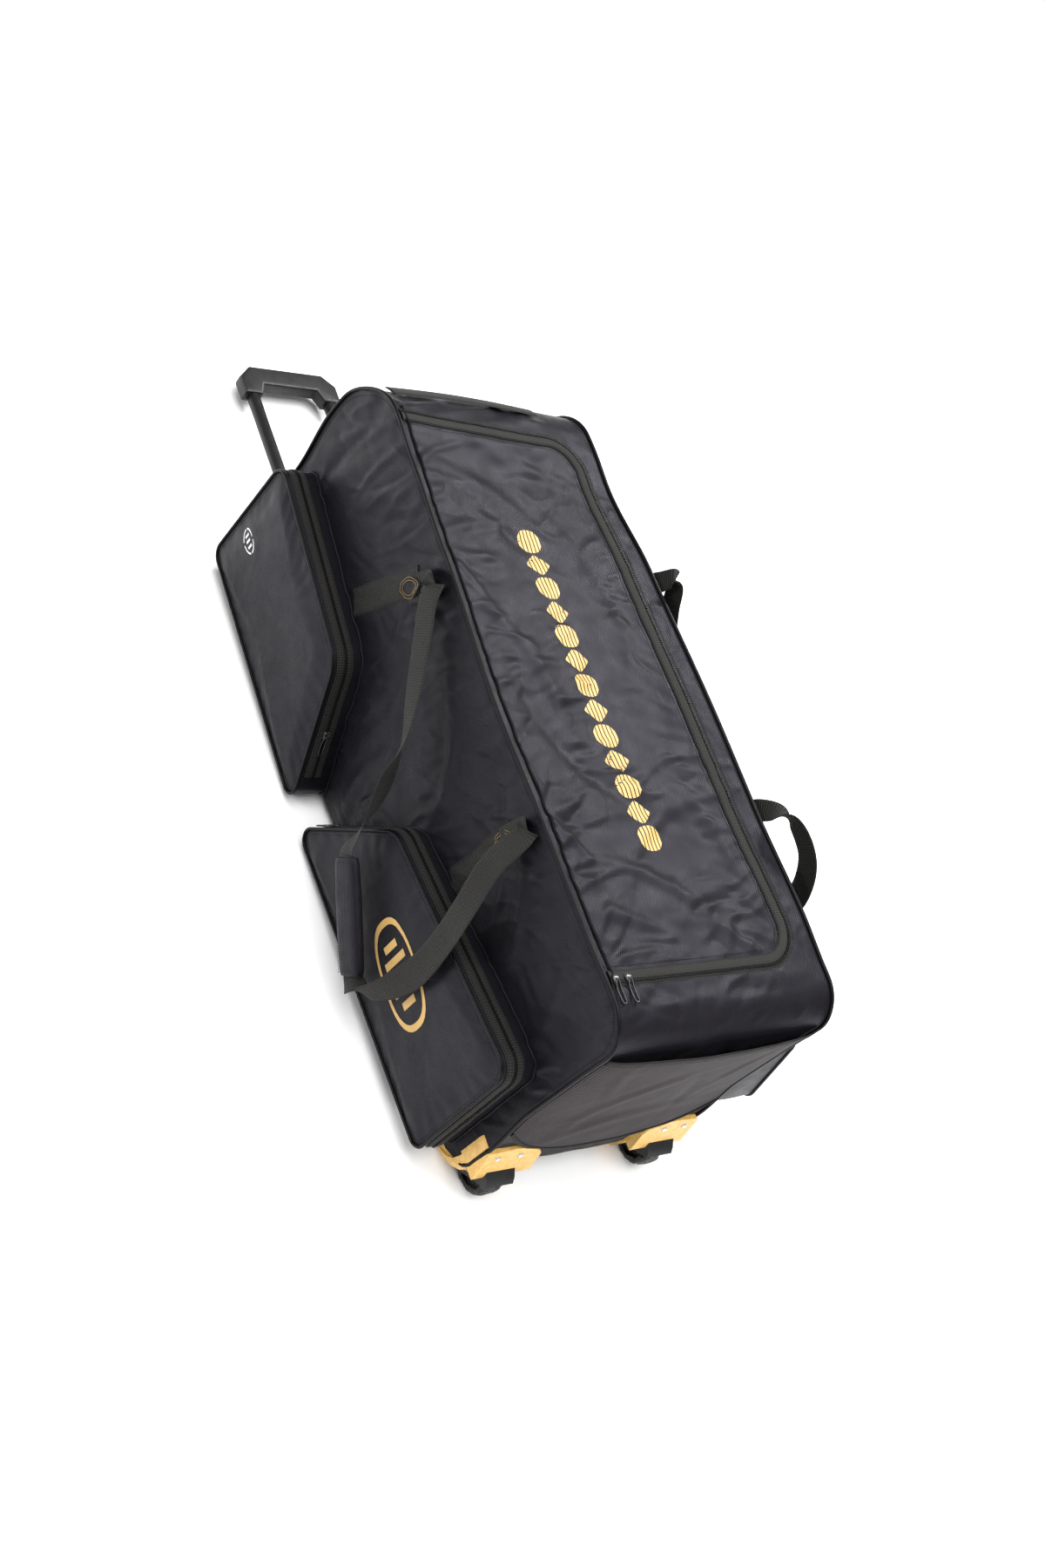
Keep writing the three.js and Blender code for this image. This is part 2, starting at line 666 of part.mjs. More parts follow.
function pocketBlank(pocket, wall) {
  const loop = insetLoop(roundedLoop(scaledCorners(pocket.corners), 3), wall);
  const heights = loop.map((p) => p.z);
  const low = Math.min(...heights);
  const high = Math.max(...heights);
  const front = pocket.depth - wall;
  const rings = [
    { out: -pocketRoot - (wall > 0 ? fabric : 0), inset: 0, sag: 0 },
    { out: 0, inset: 0, sag: 0 },
    { out: front * 0.5, inset: -1.5, sag: 0.5 },
    { out: front, inset: 2, sag: 1 },
    { out: front + pocketBulge, inset: pocketRim, sag: 1 },
  ];
  return loft(
    rings.map((ring) =>
      insetLoop(loop, ring.inset).map((p) => {
        const drop = 1 - 2 * ((p.z - low) / (high - low));
        const out = ring.out + ring.sag * (pocket.sag ?? 0) * drop;
        return new THREE.Vector3(p.x, pocket.sign * (halfWidth + out), p.z);
      }),
    ),
  );
}

function pocketSolid(pocket) {
  const skin = outerBlock.translate([0, pocket.sign * gap, 0]);
  return pocketBlank(pocket, 0).subtract(pocketBlank(pocket, fabric)).subtract(skin).subtract(outerBlock);
}

// Piping round the front edge of a pocket, as a loop left open by a hair at its bottom.
function pocketPiping(pocket) {
  const stand = (pocketPipingRadius + gap) * Math.SQRT1_2 + 0.25;
  const loop = insetLoop(roundedLoop(scaledCorners(pocket.corners), 3), 1.4 - stand);
  const start = loop.length - 2;
  const ordered = [...loop.slice(start), ...loop.slice(0, start)];
  const closing = ordered[0];
  const last = ordered.at(-1);
  const end = { x: last.x + (closing.x - last.x) * 0.94, z: last.z + (closing.z - last.z) * 0.94 };
  const y = pocket.sign * (halfWidth + pocket.depth - 0.4 + stand);
  const path = [...ordered, end].map((p) => new THREE.Vector3(p.x, y, p.z));
  return cordInPanel(path, pocketPipingRadius, 6);
}

// Zip tape round the gusset of a pocket, on its sides and top.
function pocketZip(pocket) {
  const loop = roundedLoop(scaledCorners(pocket.corners), 3);
  const lowY = halfWidth + pocket.depth * 0.42;
  const highY = halfWidth + pocket.depth * 0.86;
  const ys = [lowY, (lowY + highY) / 2, highY].map((y) => pocket.sign * y);
  const band = (lift) =>
    loft(ys.map((y) => insetLoop(loop, -lift).map((p) => new THREE.Vector3(p.x, y, p.z))));
  const start = pocketZipSeat;
  const ring = band(start + pocketZipLift).subtract(
    loft(
      [ys[0] - pocket.sign * 5, ys[2] + pocket.sign * 5].map((y) =>
        insetLoop(loop, -start).map((p) => new THREE.Vector3(p.x, y, p.z)),
      ),
    ),
  );
  const lowest = Math.min(...loop.map((p) => p.z));
  const cut = lowest + bodyHeight * 0.09;
  return ring.intersect(boxBetween([-bodyLength, -bodyWidth, cut], [bodyLength, bodyWidth, bodyTop]));
}

const pockets = [
  { name: "near_handle_pocket", corners: handlePocketCorners, sign: -1, depth: nearPocketDepth },
  { name: "near_wheel_pocket", corners: wheelPocketCorners, sign: -1, depth: nearPocketDepth },
  { name: "far_pocket", corners: farPocketCorners, sign: 1, depth: farPocketDepth, sag: farPocketSag },
];
const [handlePocket, wheelPocket] = pockets;

// Mesh pocket over the wheel end

function meshLow(u) {
  return bodyHeight * (0.193 + 0.18 * Math.abs(u) ** 2.5);
}

function meshHigh(u) {
  return bodyHeight * (0.895 + 0.032 * (1 - u * u) + 0.01 * u);
}

function meshFront(u, v, z) {
  const curve = wheelEndBulge * (1 - u * u) + endOut(1, z / bodyHeight) + 0.8 + meshThickness;
  return halfLength + curve + meshBulge * (1 - u * u) ** 0.7 * Math.sin((Math.PI / 2) * v) ** 1.3;
}

function meshPocket() {
  const reach = halfWidth - 7;
  const sheetSolid = sheet(10, 7, (s, v, side) => {
    const u = 2 * s - 1;
    const z = meshLow(u) + (meshHigh(u) - meshLow(u)) * v;
    return { x: meshFront(u, v, z) - (1 - side) * meshThickness, y: u * reach, z };
  });
  let pocket = sheetSolid.subtract(outerBlock.translate([gap, 0, 0]));
  for (const side of wheelSides) {
    pocket = pocket.subtract(prismAlongX(bracketLoop(side, 1), 0, bodyLength));
  }
  const parts = pocket.decompose().sort((a, b) => b.volume() - a.volume());
  return parts[0];
}

function meshHem() {
  const reach = halfWidth - 7;
  return sheet(10, 1, (s, v, side) => {
    const u = 2 * s - 1;
    const z = meshHigh(u) - hemHeight * (1 - v) + 1;
    return { x: meshFront(u, 1, z) + gap + side * hemThickness, y: u * reach, z };
  });
}

// Webbing

// Swell of a side panel over its edge at x, z.
function panelSwell(x, z) {
  const share = Math.max(Math.abs(x) / halfLength, Math.abs(z - halfHeight) / halfHeight);
  return sideBulge * Math.max(0, 1 - share * share);
}

function strapPoint(row, sign) {
  const x = row.along * halfLength;
  const z = row.up * bodyHeight;
  return new THREE.Vector3(x, sign * (halfWidth + panelSwell(x, z) + row.out), z);
}

function strapStations(route, rows, sign) {
  const points = route.map((r) => strapPoint(r, sign));
  const curve = new THREE.CatmullRomCurve3(points, false, "centripetal");
  const perRow = 2;
  const count = (route.length - 1) * perRow;
  return Array.from({ length: count + 1 }, (_, i) => {
    const t = i / perRow;
    const low = Math.min(Math.floor(t), route.length - 2);
    const mix = smooth(t - low);
    const lean = THREE.MathUtils.degToRad(route[low].lean + (route[low + 1].lean - route[low].lean) * mix);
    const turn = THREE.MathUtils.degToRad(route[low].turn + (route[low + 1].turn - route[low].turn) * mix);
    const across = new THREE.Vector3(
      Math.cos(lean) * Math.cos(turn),
      sign * Math.sin(turn),
      Math.sin(lean) * Math.cos(turn),
    );
    const [from, to] = rows;
    const share = (t - from) / (to - from);
    const inSleeve = share >= 0 && share <= 1;
    const middle = inSleeve ? points[from].clone().lerp(points[to], share) : curve.getPoint(i / count);
    return { middle, across };
  });
}

function gripSleeve(route, rows, sign) {
  const [start, end] = rows.map((row) => strapPoint(route[row], sign));
  const along = end.clone().sub(start).normalize();
  const middle = start.clone().add(end).multiplyScalar(0.5);
  const lean = THREE.MathUtils.degToRad(route[rows[0] + 1].lean);
  const wide = new THREE.Vector3(Math.cos(lean), 0, Math.sin(lean));
  wide.addScaledVector(along, -wide.dot(along)).normalize();
  const thick = along.clone().cross(wide).normalize();
  const ringAt = (distance, width, thickness, sides) =>
    Array.from({ length: sides }, (_, i) => {
      const angle = ((i + 0.5) * 2 * Math.PI) / sides;
      const c = Math.sign(Math.cos(angle)) * Math.abs(Math.cos(angle)) ** 0.6;
      const s = Math.sign(Math.sin(angle)) * Math.abs(Math.sin(angle)) ** 0.6;
      return middle
        .clone()
        .addScaledVector(along, distance)
        .addScaledVector(wide, (c * width) / 2)
        .addScaledVector(thick, (s * thickness) / 2);
    });
  const shares = [-0.5, -0.46, -0.2, 0.1, 0.45, 0.5];
  const swell = [0.94, 1, 1.04, 1, 0.98, 0.92];
  const outer = loft(
    shares.map((s, i) => ringAt(s * sleeveLength, sleeveWidth * swell[i], sleeveThickness * swell[i], 14)),
  );
  const slot = loft(
    [-0.6, 0.6].map((s) => ringAt(s * sleeveLength, sleeveSlotWidth, sleeveSlotThickness, 8)),
  );
  return outer.subtract(slot);
}

// Webbing sewn flat on a side panel from a pocket's top seam up to a strap anchor.
function sideBand(route, row, foot, sign) {
  const head = route[row];
  const halfBand = webbingWidth / 2;
  const top = { x: head.along * halfLength, z: head.up * bodyHeight + 24 };
  const low = { x: foot.along * halfLength, z: foot.up * bodyHeight };
  const run = new THREE.Vector2(top.x - low.x, top.z - low.z).normalize();
  const side = new THREE.Vector2(run.y, -run.x).multiplyScalar(halfBand);
  const loop = [
    { x: low.x - side.x, z: low.z - side.y },
    { x: low.x + side.x, z: low.z + side.y },
    { x: top.x + side.x, z: top.z + side.y },
    { x: top.x - side.x, z: top.z - side.y },
  ];
  const reach = sign > 0 ? [0, bodyWidth] : [-bodyWidth, 0];
  let band = layerOver([0, sign, 0], gap, webbingStandoff, prismAlongY(loop, ...reach));
  for (const pocket of pockets.filter((p) => p.sign === sign)) {
    const blank = pocketBlank(pocket, 0);
    band = band.subtract(blank).subtract(blank.translate([0, 0, 2 * gap]));
  }
  return band;
}

// How far the body reaches from a point in a direction square to Y, across one narrow slice.
function reachOfBody(centre, y, degrees) {
  const slice = boxBetween([-bodyLength, y - 2, 0], [bodyLength, y + 2, aboveBag]);
  const turned = outerBlock.intersect(slice).translate([-centre.x, 0, -centre.z]);
  return turned.rotate([0, degrees - 90, 0]).boundingBox().max[2];
}

// Grab loop of webbing, its ends sewn to the upper corner of the handle end.
function grabLoop() {
  const lowY = -halfWidth * 0.88;
  const highY = halfWidth * 0.53;
  const centre = { x: -halfLength + topHandleRadius, z: bodyTop - topHandleRadius };
  const angle = THREE.MathUtils.degToRad(grabAngle);
  const out = new THREE.Vector3(Math.cos(angle), 0, Math.sin(angle));
  const across = new THREE.Vector3(-Math.sin(angle), 0, Math.cos(angle)).negate();
  const steps = 14;
  const stations = Array.from({ length: steps + 1 }, (_, i) => {
    const s = i / steps;
    const y = lowY + (highY - lowY) * s;
    const seat = reachOfBody(centre, y, grabAngle) + gap + webbingThickness / 2;
    const reach = seat + grabRise * Math.sin(Math.PI * s);
    const middle = new THREE.Vector3(centre.x, y, centre.z).addScaledVector(out, reach);
    return { middle, across };
  });
  return ribbon(stations, grabWidth, webbingThickness);
}

// Wheels and brackets

function wheelSolid(side) {
  const half = wheelWidth / 2;
  const profile = [
    [axleRadius + axleClearance, -half],
    [wheelRadius * 0.36, -half],
    [wheelRadius * 0.42, -half * 0.6],
    [wheelRadius * 0.66, -half * 0.6],
    [wheelRadius * 0.72, -half],
    [wheelRadius * 0.93, -half * 0.96],
    [wheelRadius, -half * 0.62],
    [wheelRadius, half * 0.62],
    [wheelRadius * 0.93, half * 0.96],
    [wheelRadius * 0.72, half],
    [wheelRadius * 0.66, half * 0.6],
    [wheelRadius * 0.42, half * 0.6],
    [wheelRadius * 0.36, half],
    [axleRadius + axleClearance, half],
    [axleRadius + axleClearance, -half],
  ].map(([r, y]) => new THREE.Vector2(r, y));
  const geometry = new THREE.LatheGeometry(profile, wheelLugs * 2);
  const position = geometry.attributes.position;
  for (let i = 0; i < position.count; i += 1) {
    const x = position.getX(i);
    const z = position.getZ(i);
    const radius = Math.hypot(x, z);
    if (radius < wheelRadius * 0.9) continue;
    const wave = (1 - Math.cos(wheelLugs * Math.atan2(z, x))) / 2;
    const keep = 1 - (wheelLugDepth * wave) / radius;
    position.setX(i, x * keep);
    position.setZ(i, z * keep);
  }
  geometry.translate(axle.x, side.y, axle.z);
  return toSolid(geometry);
}

// Half of space below a slanted plane that faces down and out at the lower corner.
function cornerSide(offset) {
  const size = bodyHeight;
  const geometry = new THREE.BoxGeometry(size, size, size);
  geometry.translate(-size / 2 + offset, 0, 0);
  geometry.rotateY(Math.PI / 4);
  geometry.translate(axle.x, 0, axle.z);
  return toSolid(geometry);
}

function wheelHousing(side) {
  const outer = cylinderAlongY(housingRadius, housingWidth, axle.x, side.y, axle.z, 20);
  const well = cylinderAlongY(wellRadius, wellWidth, axle.x, side.y, axle.z, 20);
  const pin = axleRadius + axleClearance;
  const bore = cylinderAlongY(pin, housingWidth * 2, axle.x, side.y, axle.z, 12);
  const floorStop = boxBetween([0, -bodyWidth, wheelRadius * 0.15], [bodyLength, bodyWidth, bodyHeight]);
  return outer.intersect(cornerSide(9)).intersect(floorStop).subtract(well).subtract(bore);
}

function axlePin(side) {
  return cylinderAlongY(axleRadius, housingWidth, axle.x, side.y, axle.z, 12);
}

// Outline of a bracket across the wheel end, as y and z.
function bracketLoop(side, grow) {
  const outerY = side.sign * (halfWidth + gap + bracketThickness + grow);
  const innerY = side.sign * (halfWidth - bracketReach - grow);
  const top = bracketTop + grow;
  const corners = [
    { x: outerY, z: -6, r: 2 },
    { x: innerY, z: -6, r: 2 },
    { x: innerY, z: top * 0.88, r: 14 },
    { x: side.sign * (halfWidth - 0.5 * bracketReach), z: top, r: 0.46 * bracketReach },
    { x: outerY, z: top * 0.97, r: 6 },
  ];
  return roundedLoop(side.sign > 0 ? corners.reverse() : corners, 3);
}

function cornerBracket(side) {
  const shift = [gap + bracketThickness, side.sign * (gap + bracketThickness), -bracketThickness - gap];
  const clear = [gap, side.sign * gap, -gap];
  const sign = side.sign;
  const outerY = sign * (halfWidth + 2 * bracketThickness);
  const innerY = sign * (halfWidth - bracketReach);
  const ys = [Math.min(outerY, innerY), Math.max(outerY, innerY)];
  const loop = bracketLoop(side, 0);
  const back = halfLength - bottomWheelRadius * 0.75;
  // Wrap of the lower corner, from the base round to the end, with a lip along the side panel
  const region = boxBetween([back, ys[0], 0], [halfLength * 1.1, ys[1], bracketTop]);
  const wrapped = outerBlock.translate(shift).intersect(region).subtract(outerBlock.translate(clear));
  const panelZone = prismAlongY(
    sideOutline(bracketLip),
    -bodyWidth,
    bodyWidth,
  );
  const lipZone = boxBetween(
    [0, sign > 0 ? halfWidth - gap : -bodyWidth, 0],
    [bodyLength, sign > 0 ? bodyWidth : -halfWidth + gap, bodyHeight],
  );
  const overLip = boxBetween(
    [0, sign > 0 ? halfWidth - gap : -bodyWidth, bracketLipTop],
    [halfLength, sign > 0 ? bodyWidth : -halfWidth + gap, bodyHeight],
  );
  const wrap = wrapped.subtract(panelZone.intersect(lipZone)).subtract(overLip);
  // Hood over the wheel
  const out = halfLength + wheelEndBulge + endOut(1, bracketTop / bodyHeight / 1.3);
  const hoodProfile = [
    { x: halfLength - bottomWheelRadius * 0.3, z: bracketHoodLow },
    { x: out + bracketHoodDepth, z: bracketHoodLow },
    { x: out + bracketHoodDepth, z: bracketHoodLow + 4 },
    { x: out + bracketThickness, z: bracketTop + 1 },
    { x: halfLength - bottomWheelRadius * 0.3, z: bracketTop + 1 },
  ];
  const hood = prismAlongY(hoodProfile, ys[0] + 0.01, ys[1] - 0.01);
  const end = prismAlongX(loop, back - 1, halfLength * 1.1);
  const hoodClear = hood.subtract(outerBlock.translate(clear)).subtract(outerBlock.translate([gap, 0, 0]));
  const cover = wrap.add(hoodClear);
  const well = cylinderAlongY(housingRadius + gap, housingWidth + 2 * gap, axle.x, side.y, axle.z, 20);
  const pipe = bodyPiping(sign);
  const groove = [
    [0, 0, 0],
    [gap, sign * gap, 0],
    [gap, 0, -gap],
    [-gap, sign * -gap, gap],
  ];
  let bracket = cover.intersect(end).subtract(well).subtract(outerBlock);
  groove.forEach((move) => {
    bracket = bracket.subtract(pipe.translate(move));
  });
  const parts = bracket.decompose().sort((a, b) => b.volume() - a.volume());
  return parts[0];
}

function rivetSolid(side, step) {
  const z = rivetUp;
  const y = side.y + side.sign * 3.5 + (step * rivetSpread) / 2;
  const slope = Math.atan2(bracketHoodDepth - bracketThickness, bracketTop - bracketHoodLow - 3);
  const share = (bracketTop + 1 - z) / (bracketTop - bracketHoodLow - 3);
  const face = halfLength + wheelEndBulge + endOut(1, bracketTop / bodyHeight / 1.3);
  const x = face + bracketThickness + (bracketHoodDepth - bracketThickness) * share;
  const geometry = new THREE.CylinderGeometry(rivetRadius * 0.72, rivetRadius, rivetHeight, 12);
  geometry.translate(0, rivetHeight / 2 + gap, 0);
  geometry.rotateZ(-Math.PI / 2);
  geometry.rotateY(-slope);
  geometry.translate(x, y, z);
  return toSolid(geometry);
}

// Trolley handle

const socketFace = -halfLength - handleEndBulge - bezelThickness - handleReach;
const gripBack = socketFace - gripSocketLength;
const gripFront = gripBack - gripBar;

function trolleyGrip() {
  const half = gripWidth / 2 - gripBevel;
  const inner = tubeSpread / 2 - gripSocketWidth / 2 + gripBevel;
  const face = socketFace - gripBevel;
  const back = gripBack - gripBevel;
  const front = gripFront + gripBevel;
  const outline = [
    [face, -half],
    [face, -inner],
    [back, -inner + gripBevel * 1.6],
    [back, inner - gripBevel * 1.6],
    [face, inner],
    [face, half],
    [front + gripChamfer, half],
    [front, half - gripChamfer],
    [front, -half + gripChamfer],
    [front + gripChamfer, -half],
  ].map(([x, y]) => new THREE.Vector2(x, y));
  const geometry = new THREE.ExtrudeGeometry(new THREE.Shape(outline), {
    depth: gripThickness - 2 * gripBevel,
    bevelEnabled: true,
    bevelSize: gripBevel,
    bevelThickness: gripBevel,
    bevelSegments: 2,
    curveSegments: 4,
  });
  geometry.translate(0, 0, tubeHeight - gripThickness / 2 + gripBevel);
  let grip = toSolid(geometry);
  for (const sign of [-1, 1]) {
    const y = (sign * tubeSpread) / 2;
    const low = socketFace - socketDepth;
    const bore = cylinderAlongX(tubeRadius + gap, low, socketFace + 1, y, tubeHeight, 16);
    grip = grip.subtract(bore);
  }
  return grip;
}

function trolleyTube(sign) {
  const low = socketFace - socketDepth + gap;
  return cylinderAlongX(tubeRadius, low, low + tubeLength, (sign * tubeSpread) / 2, tubeHeight, 16);
}

function tubeGuide(sign) {
  const y = (sign * tubeSpread) / 2;
  const low = -halfLength - handleEndBulge * 0.3;
  const outer = cylinderAlongX(guideRadius, low, low + guideLength, y, tubeHeight, 16);
  const bore = tubeRadius + guideClearance;
  return outer.subtract(cylinderAlongX(bore, low - 1, low + guideLength + 1, y, tubeHeight, 16));
}

function handleBezel() {
  const high = tubeHeight + bezelHeight / 2;
  const low = tubeHeight - bezelHeight / 2;
  const half = bezelWidth / 2;
  const loop = roundedLoop(
    [
      { x: -half, z: low, r: 12 },
      { x: half, z: low, r: 12 },
      { x: half, z: high, r: 12 },
      { x: -half, z: high, r: 12 },
    ],
    3,
  );
  const outside = -halfLength - handleEndBulge - bezelThickness;
  let plate = prismAlongX(loop, outside, -halfLength + 1);
  plate = plate.subtract(outerBlock.translate([-gap, 0, 0])).subtract(outerBlock);
  for (const sign of [-1, 1]) {
    const y = (sign * tubeSpread) / 2;
    const slide = tubeRadius + guideClearance;
    plate = plate.subtract(cylinderAlongX(slide, outside - 1, -halfLength + 20, y, tubeHeight, 16));
    const seat = guideRadius + gap;
    const seatX = -halfLength - handleEndBulge * 0.3 - gap;
    plate = plate.subtract(cylinderAlongX(seat, seatX, -halfLength + 20, y, tubeHeight, 16));
  }
  return plate;
}

// Plain block on the base that carries the inner ends of the two guides.
function guideRest() {
  const low = -halfLength - handleEndBulge * 0.3 + guideLength - guideRestLength;
  const half = tubeSpread / 2 + guideRadius + 8;
  const floor = fabric + gap;
  const high = tubeHeight + guideRadius * 0.4;
  let block = boxBetween([low, -half, floor], [low + guideRestLength, half, high]);
  const slot = tubeSpread / 2 - guideRadius - 10;
  block = block.subtract(boxBetween([low - 1, -slot, tubeHeight - guideRadius], [0, slot, high + 1]));
  for (const sign of [-1, 1]) {
    const y = (sign * tubeSpread) / 2;
    const seat = cylinderAlongX(guideRadius + gap, low - 1, low + guideRestLength + 1, y, tubeHeight, 16);
    block = block.subtract(seat);
  }
  return block;
}

// Zip pulls: a slider with a flat tongue hanging from it. The tongue runs to +X, the back is z = 0.
function zipPull() {
  const half = pullWidth / 2;
  const tongue = roundedLoop(
    [
      { x: sliderLength * 0.3, z: -half * 0.7, r: 1 },
      { x: pullLength, z: -half, r: 2.4 },
      { x: pullLength, z: half, r: 2.4 },
      { x: sliderLength * 0.3, z: half * 0.7, r: 1 },
    ],
    1,
  );
  const slider = roundedLoop(
    [
      { x: -sliderLength / 2, z: -half * 1.1, r: 1.5 },
      { x: sliderLength / 2, z: -half * 0.8, r: 1.5 },
      { x: sliderLength / 2, z: half * 0.8, r: 1.5 },
      { x: -sliderLength / 2, z: half * 1.1, r: 1.5 },
    ],
    1,
  );
  const eye = cylinderAlongZ(half * 0.5, pullLength - 5, 0, 8);
  const flat = prismAlongZ(tongue, sliderHeight * 0.35, sliderHeight * 0.35 + pullThickness);
  return prismAlongZ(slider, 0, sliderHeight).add(flat).subtract(eye);
}

function cylinderAlongZ(radius, x, y, sides) {
  const geometry = new THREE.CylinderGeometry(radius, radius, 4 * sliderHeight, sides);
  geometry.rotateX(Math.PI / 2);
  geometry.translate(x, y, 0);
  return toSolid(geometry);
}

// Place of a pull on a pocket's gusset: point, direction along the edge and outward normal.
function gussetPlace(pocket, share, away) {
  const outline = roundedLoop(scaledCorners(pocket.corners), 3);
  const loop = insetLoop(outline, -(pocketZipSeat + pocketZipLift));
  const i = Math.round(share * loop.length) % loop.length;
  const here = loop[i];
  const next = loop[(i + 1) % loop.length];
  const run = new THREE.Vector3(next.x - here.x, 0, next.z - here.z).normalize();
  const out = new THREE.Vector3(run.z, 0, -run.x);
  const y = pocket.sign * (halfWidth + pocket.depth * away);
  const point = new THREE.Vector3((here.x + next.x) / 2, y, (here.z + next.z) / 2);
  return { point: point.addScaledVector(out, gap), run, out };
}

// Materials

const cloth = { color: 0x2c2a30, roughness: 0.78, metalness: 0 };
const tape = { color: 0x232320, roughness: 0.85, metalness: 0 };
const vinyl = { color: 0x222224, roughness: 0.3, metalness: 0 };
const net = { color: 0x352e32, roughness: 0.85, metalness: 0 };
const gold = { color: 0xd9a545, roughness: 0.42, metalness: 0.1 };
const steel = { color: 0xb9b9b7, roughness: 0.3, metalness: 1 };
const darkMetal = { color: 0x1b1b1d, roughness: 0.3, metalness: 0.7 };
const blackPlastic = { color: 0x262628, roughness: 0.5, metalness: 0 };
const tubeMetal = { color: 0x202022, roughness: 0.35, metalness: 0.4 };
const rubber = { color: 0x19191a, roughness: 0.8, metalness: 0 };

const bag = new THREE.Group();

function addPiece(name, solid, look, parent = bag) {
  const mesh = new THREE.Mesh(toGeometry(solid), new THREE.MeshStandardMaterial(look));
  mesh.name = name;
  parent.add(mesh);
  return mesh;
}

addPiece("body_shell", bodyShell(), cloth);
addPiece("lid", lidSolid(), cloth);
addPiece("lid_zip", lidZip(), tape);
addPiece("piping_near", bodyPiping(-1), vinyl);
addPiece("piping_far", bodyPiping(1), vinyl);

for (const pocket of pockets) {
  addPiece(pocket.name, pocketSolid(pocket), cloth);
}
for (const pocket of [handlePocket, wheelPocket]) {
  addPiece(pocket.name + "_piping", pocketPiping(pocket), vinyl);
  addPiece(pocket.name + "_zip", pocketZip(pocket), tape);
}

addPiece("mesh_pocket", meshPocket(), net);
addPiece("mesh_hem", meshHem(), tape);

const straps = [
  { name: "near", route: nearStrapRoute, rows: nearGripRows, sign: -1, feet: [-0.505, 0.37] },
  { name: "far", route: farStrapRoute, rows: farGripRows, sign: 1, feet: [-0.41, 0.385] },
];
for (const strap of straps) {
  const stations = strapStations(strap.route, strap.rows, strap.sign);
  addPiece(strap.name + "_strap", ribbon(stations, webbingWidth, webbingThickness), tape);
  addPiece(strap.name + "_grip_sleeve", gripSleeve(strap.route, strap.rows, strap.sign), cloth);
  const anchors = [
    { label: "handle", row: 0, foot: strap.feet[0] },
    { label: "wheel", row: strap.route.length - 1, foot: strap.feet[1] },
  ];
  for (const anchor of anchors) {
    const foot = { along: anchor.foot, up: 0.52 };
    const band = sideBand(strap.route, anchor.row, foot, strap.sign);
    addPiece(strap.name + "_band_" + anchor.label, band, tape);
  }
}
addPiece("grab_loop", grabLoop(), tape);

for (const side of wheelSides) {
  addPiece("wheel_" + side.name, wheelSolid(side), rubber);
  addPiece("wheel_housing_" + side.name, wheelHousing(side), blackPlastic);
  addPiece("axle_" + side.name, axlePin(side), steel);
  addPiece("bracket_" + side.name, cornerBracket(side), gold);
  addPiece("rivet_" + side.name + "_outer", rivetSolid(side, side.sign), steel);
  addPiece("rivet_" + side.name + "_inner", rivetSolid(side, -side.sign), steel);
}

addPiece("trolley_grip", trolleyGrip(), blackPlastic);
addPiece("trolley_tube_near", trolleyTube(-1), tubeMetal);
addPiece("trolley_tube_far", trolleyTube(1), tubeMetal);
addPiece("tube_guide_near", tubeGuide(-1), tubeMetal);
addPiece("tube_guide_far", tubeGuide(1), tubeMetal);
addPiece("handle_bezel", handleBezel(), blackPlastic);
addPiece("guide_rest", guideRest(), blackPlastic);

// Height of the body's top under a pull, in a narrow slice at x.
function topUnderPull(x, y) {
  const low = [x - 1, y - pullWidth / 2, halfHeight];
  const high = [x + 1, y + pullWidth / 2, aboveBag];
  return outerBlock.intersect(boxBetween(low, high)).boundingBox().max[2];
}

// Lid zip pulls lie side by side on the zip at the wheel end, near the piping.
const pullBase = zipPull();
for (const [name, y] of [
  ["lid_zip_pull_near", -halfWidth + 11],
  ["lid_zip_pull_far", -halfWidth + 30],
]) {
  const x = halfLength - lidWheelMargin + 3;
  const pull = addPiece(name, pullBase, darkMetal);
  const low = topUnderPull(x - sliderLength / 2, y);
  const high = topUnderPull(x + sliderLength / 2, y);
  pull.rotation.y = -Math.atan2(high - low, sliderLength);
  pull.position.set(x, y, (low + high) / 2 + zipThickness + 2 * gap);
}

// Pocket zip pulls lie on the gussets.
const basis = new THREE.Matrix4();
for (const [name, pocket, share, away, reverse] of [
  ["near_handle_pocket_pull", handlePocket, 0.42, 0.64, true],
  ["near_wheel_pocket_pull_low", wheelPocket, 0.96, 0.52, false],
  ["near_wheel_pocket_pull_high", wheelPocket, 0.96, 0.74, false],
]) {
  const place = gussetPlace(pocket, share, away);
  const run = reverse ? place.run.clone().negate() : place.run;
  const pull = addPiece(name, pullBase, darkMetal);
  const side = place.out.clone().cross(run);
  pull.setRotationFromMatrix(basis.makeBasis(run, side, place.out));
  pull.position.copy(place.point);
}

// The finished bag stands with the middle of its box's underside at the origin.
bag.updateMatrixWorld(true);
const box = new THREE.Box3().setFromObject(bag);
const kit = new THREE.Group();
kit.add(bag);
bag.position.set(-(box.min.x + box.max.x) / 2, -(box.min.y + box.max.y) / 2, -box.min.z);

export default kit;
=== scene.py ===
import math
import bpy
import numpy as np
from mathutils import Matrix, Vector


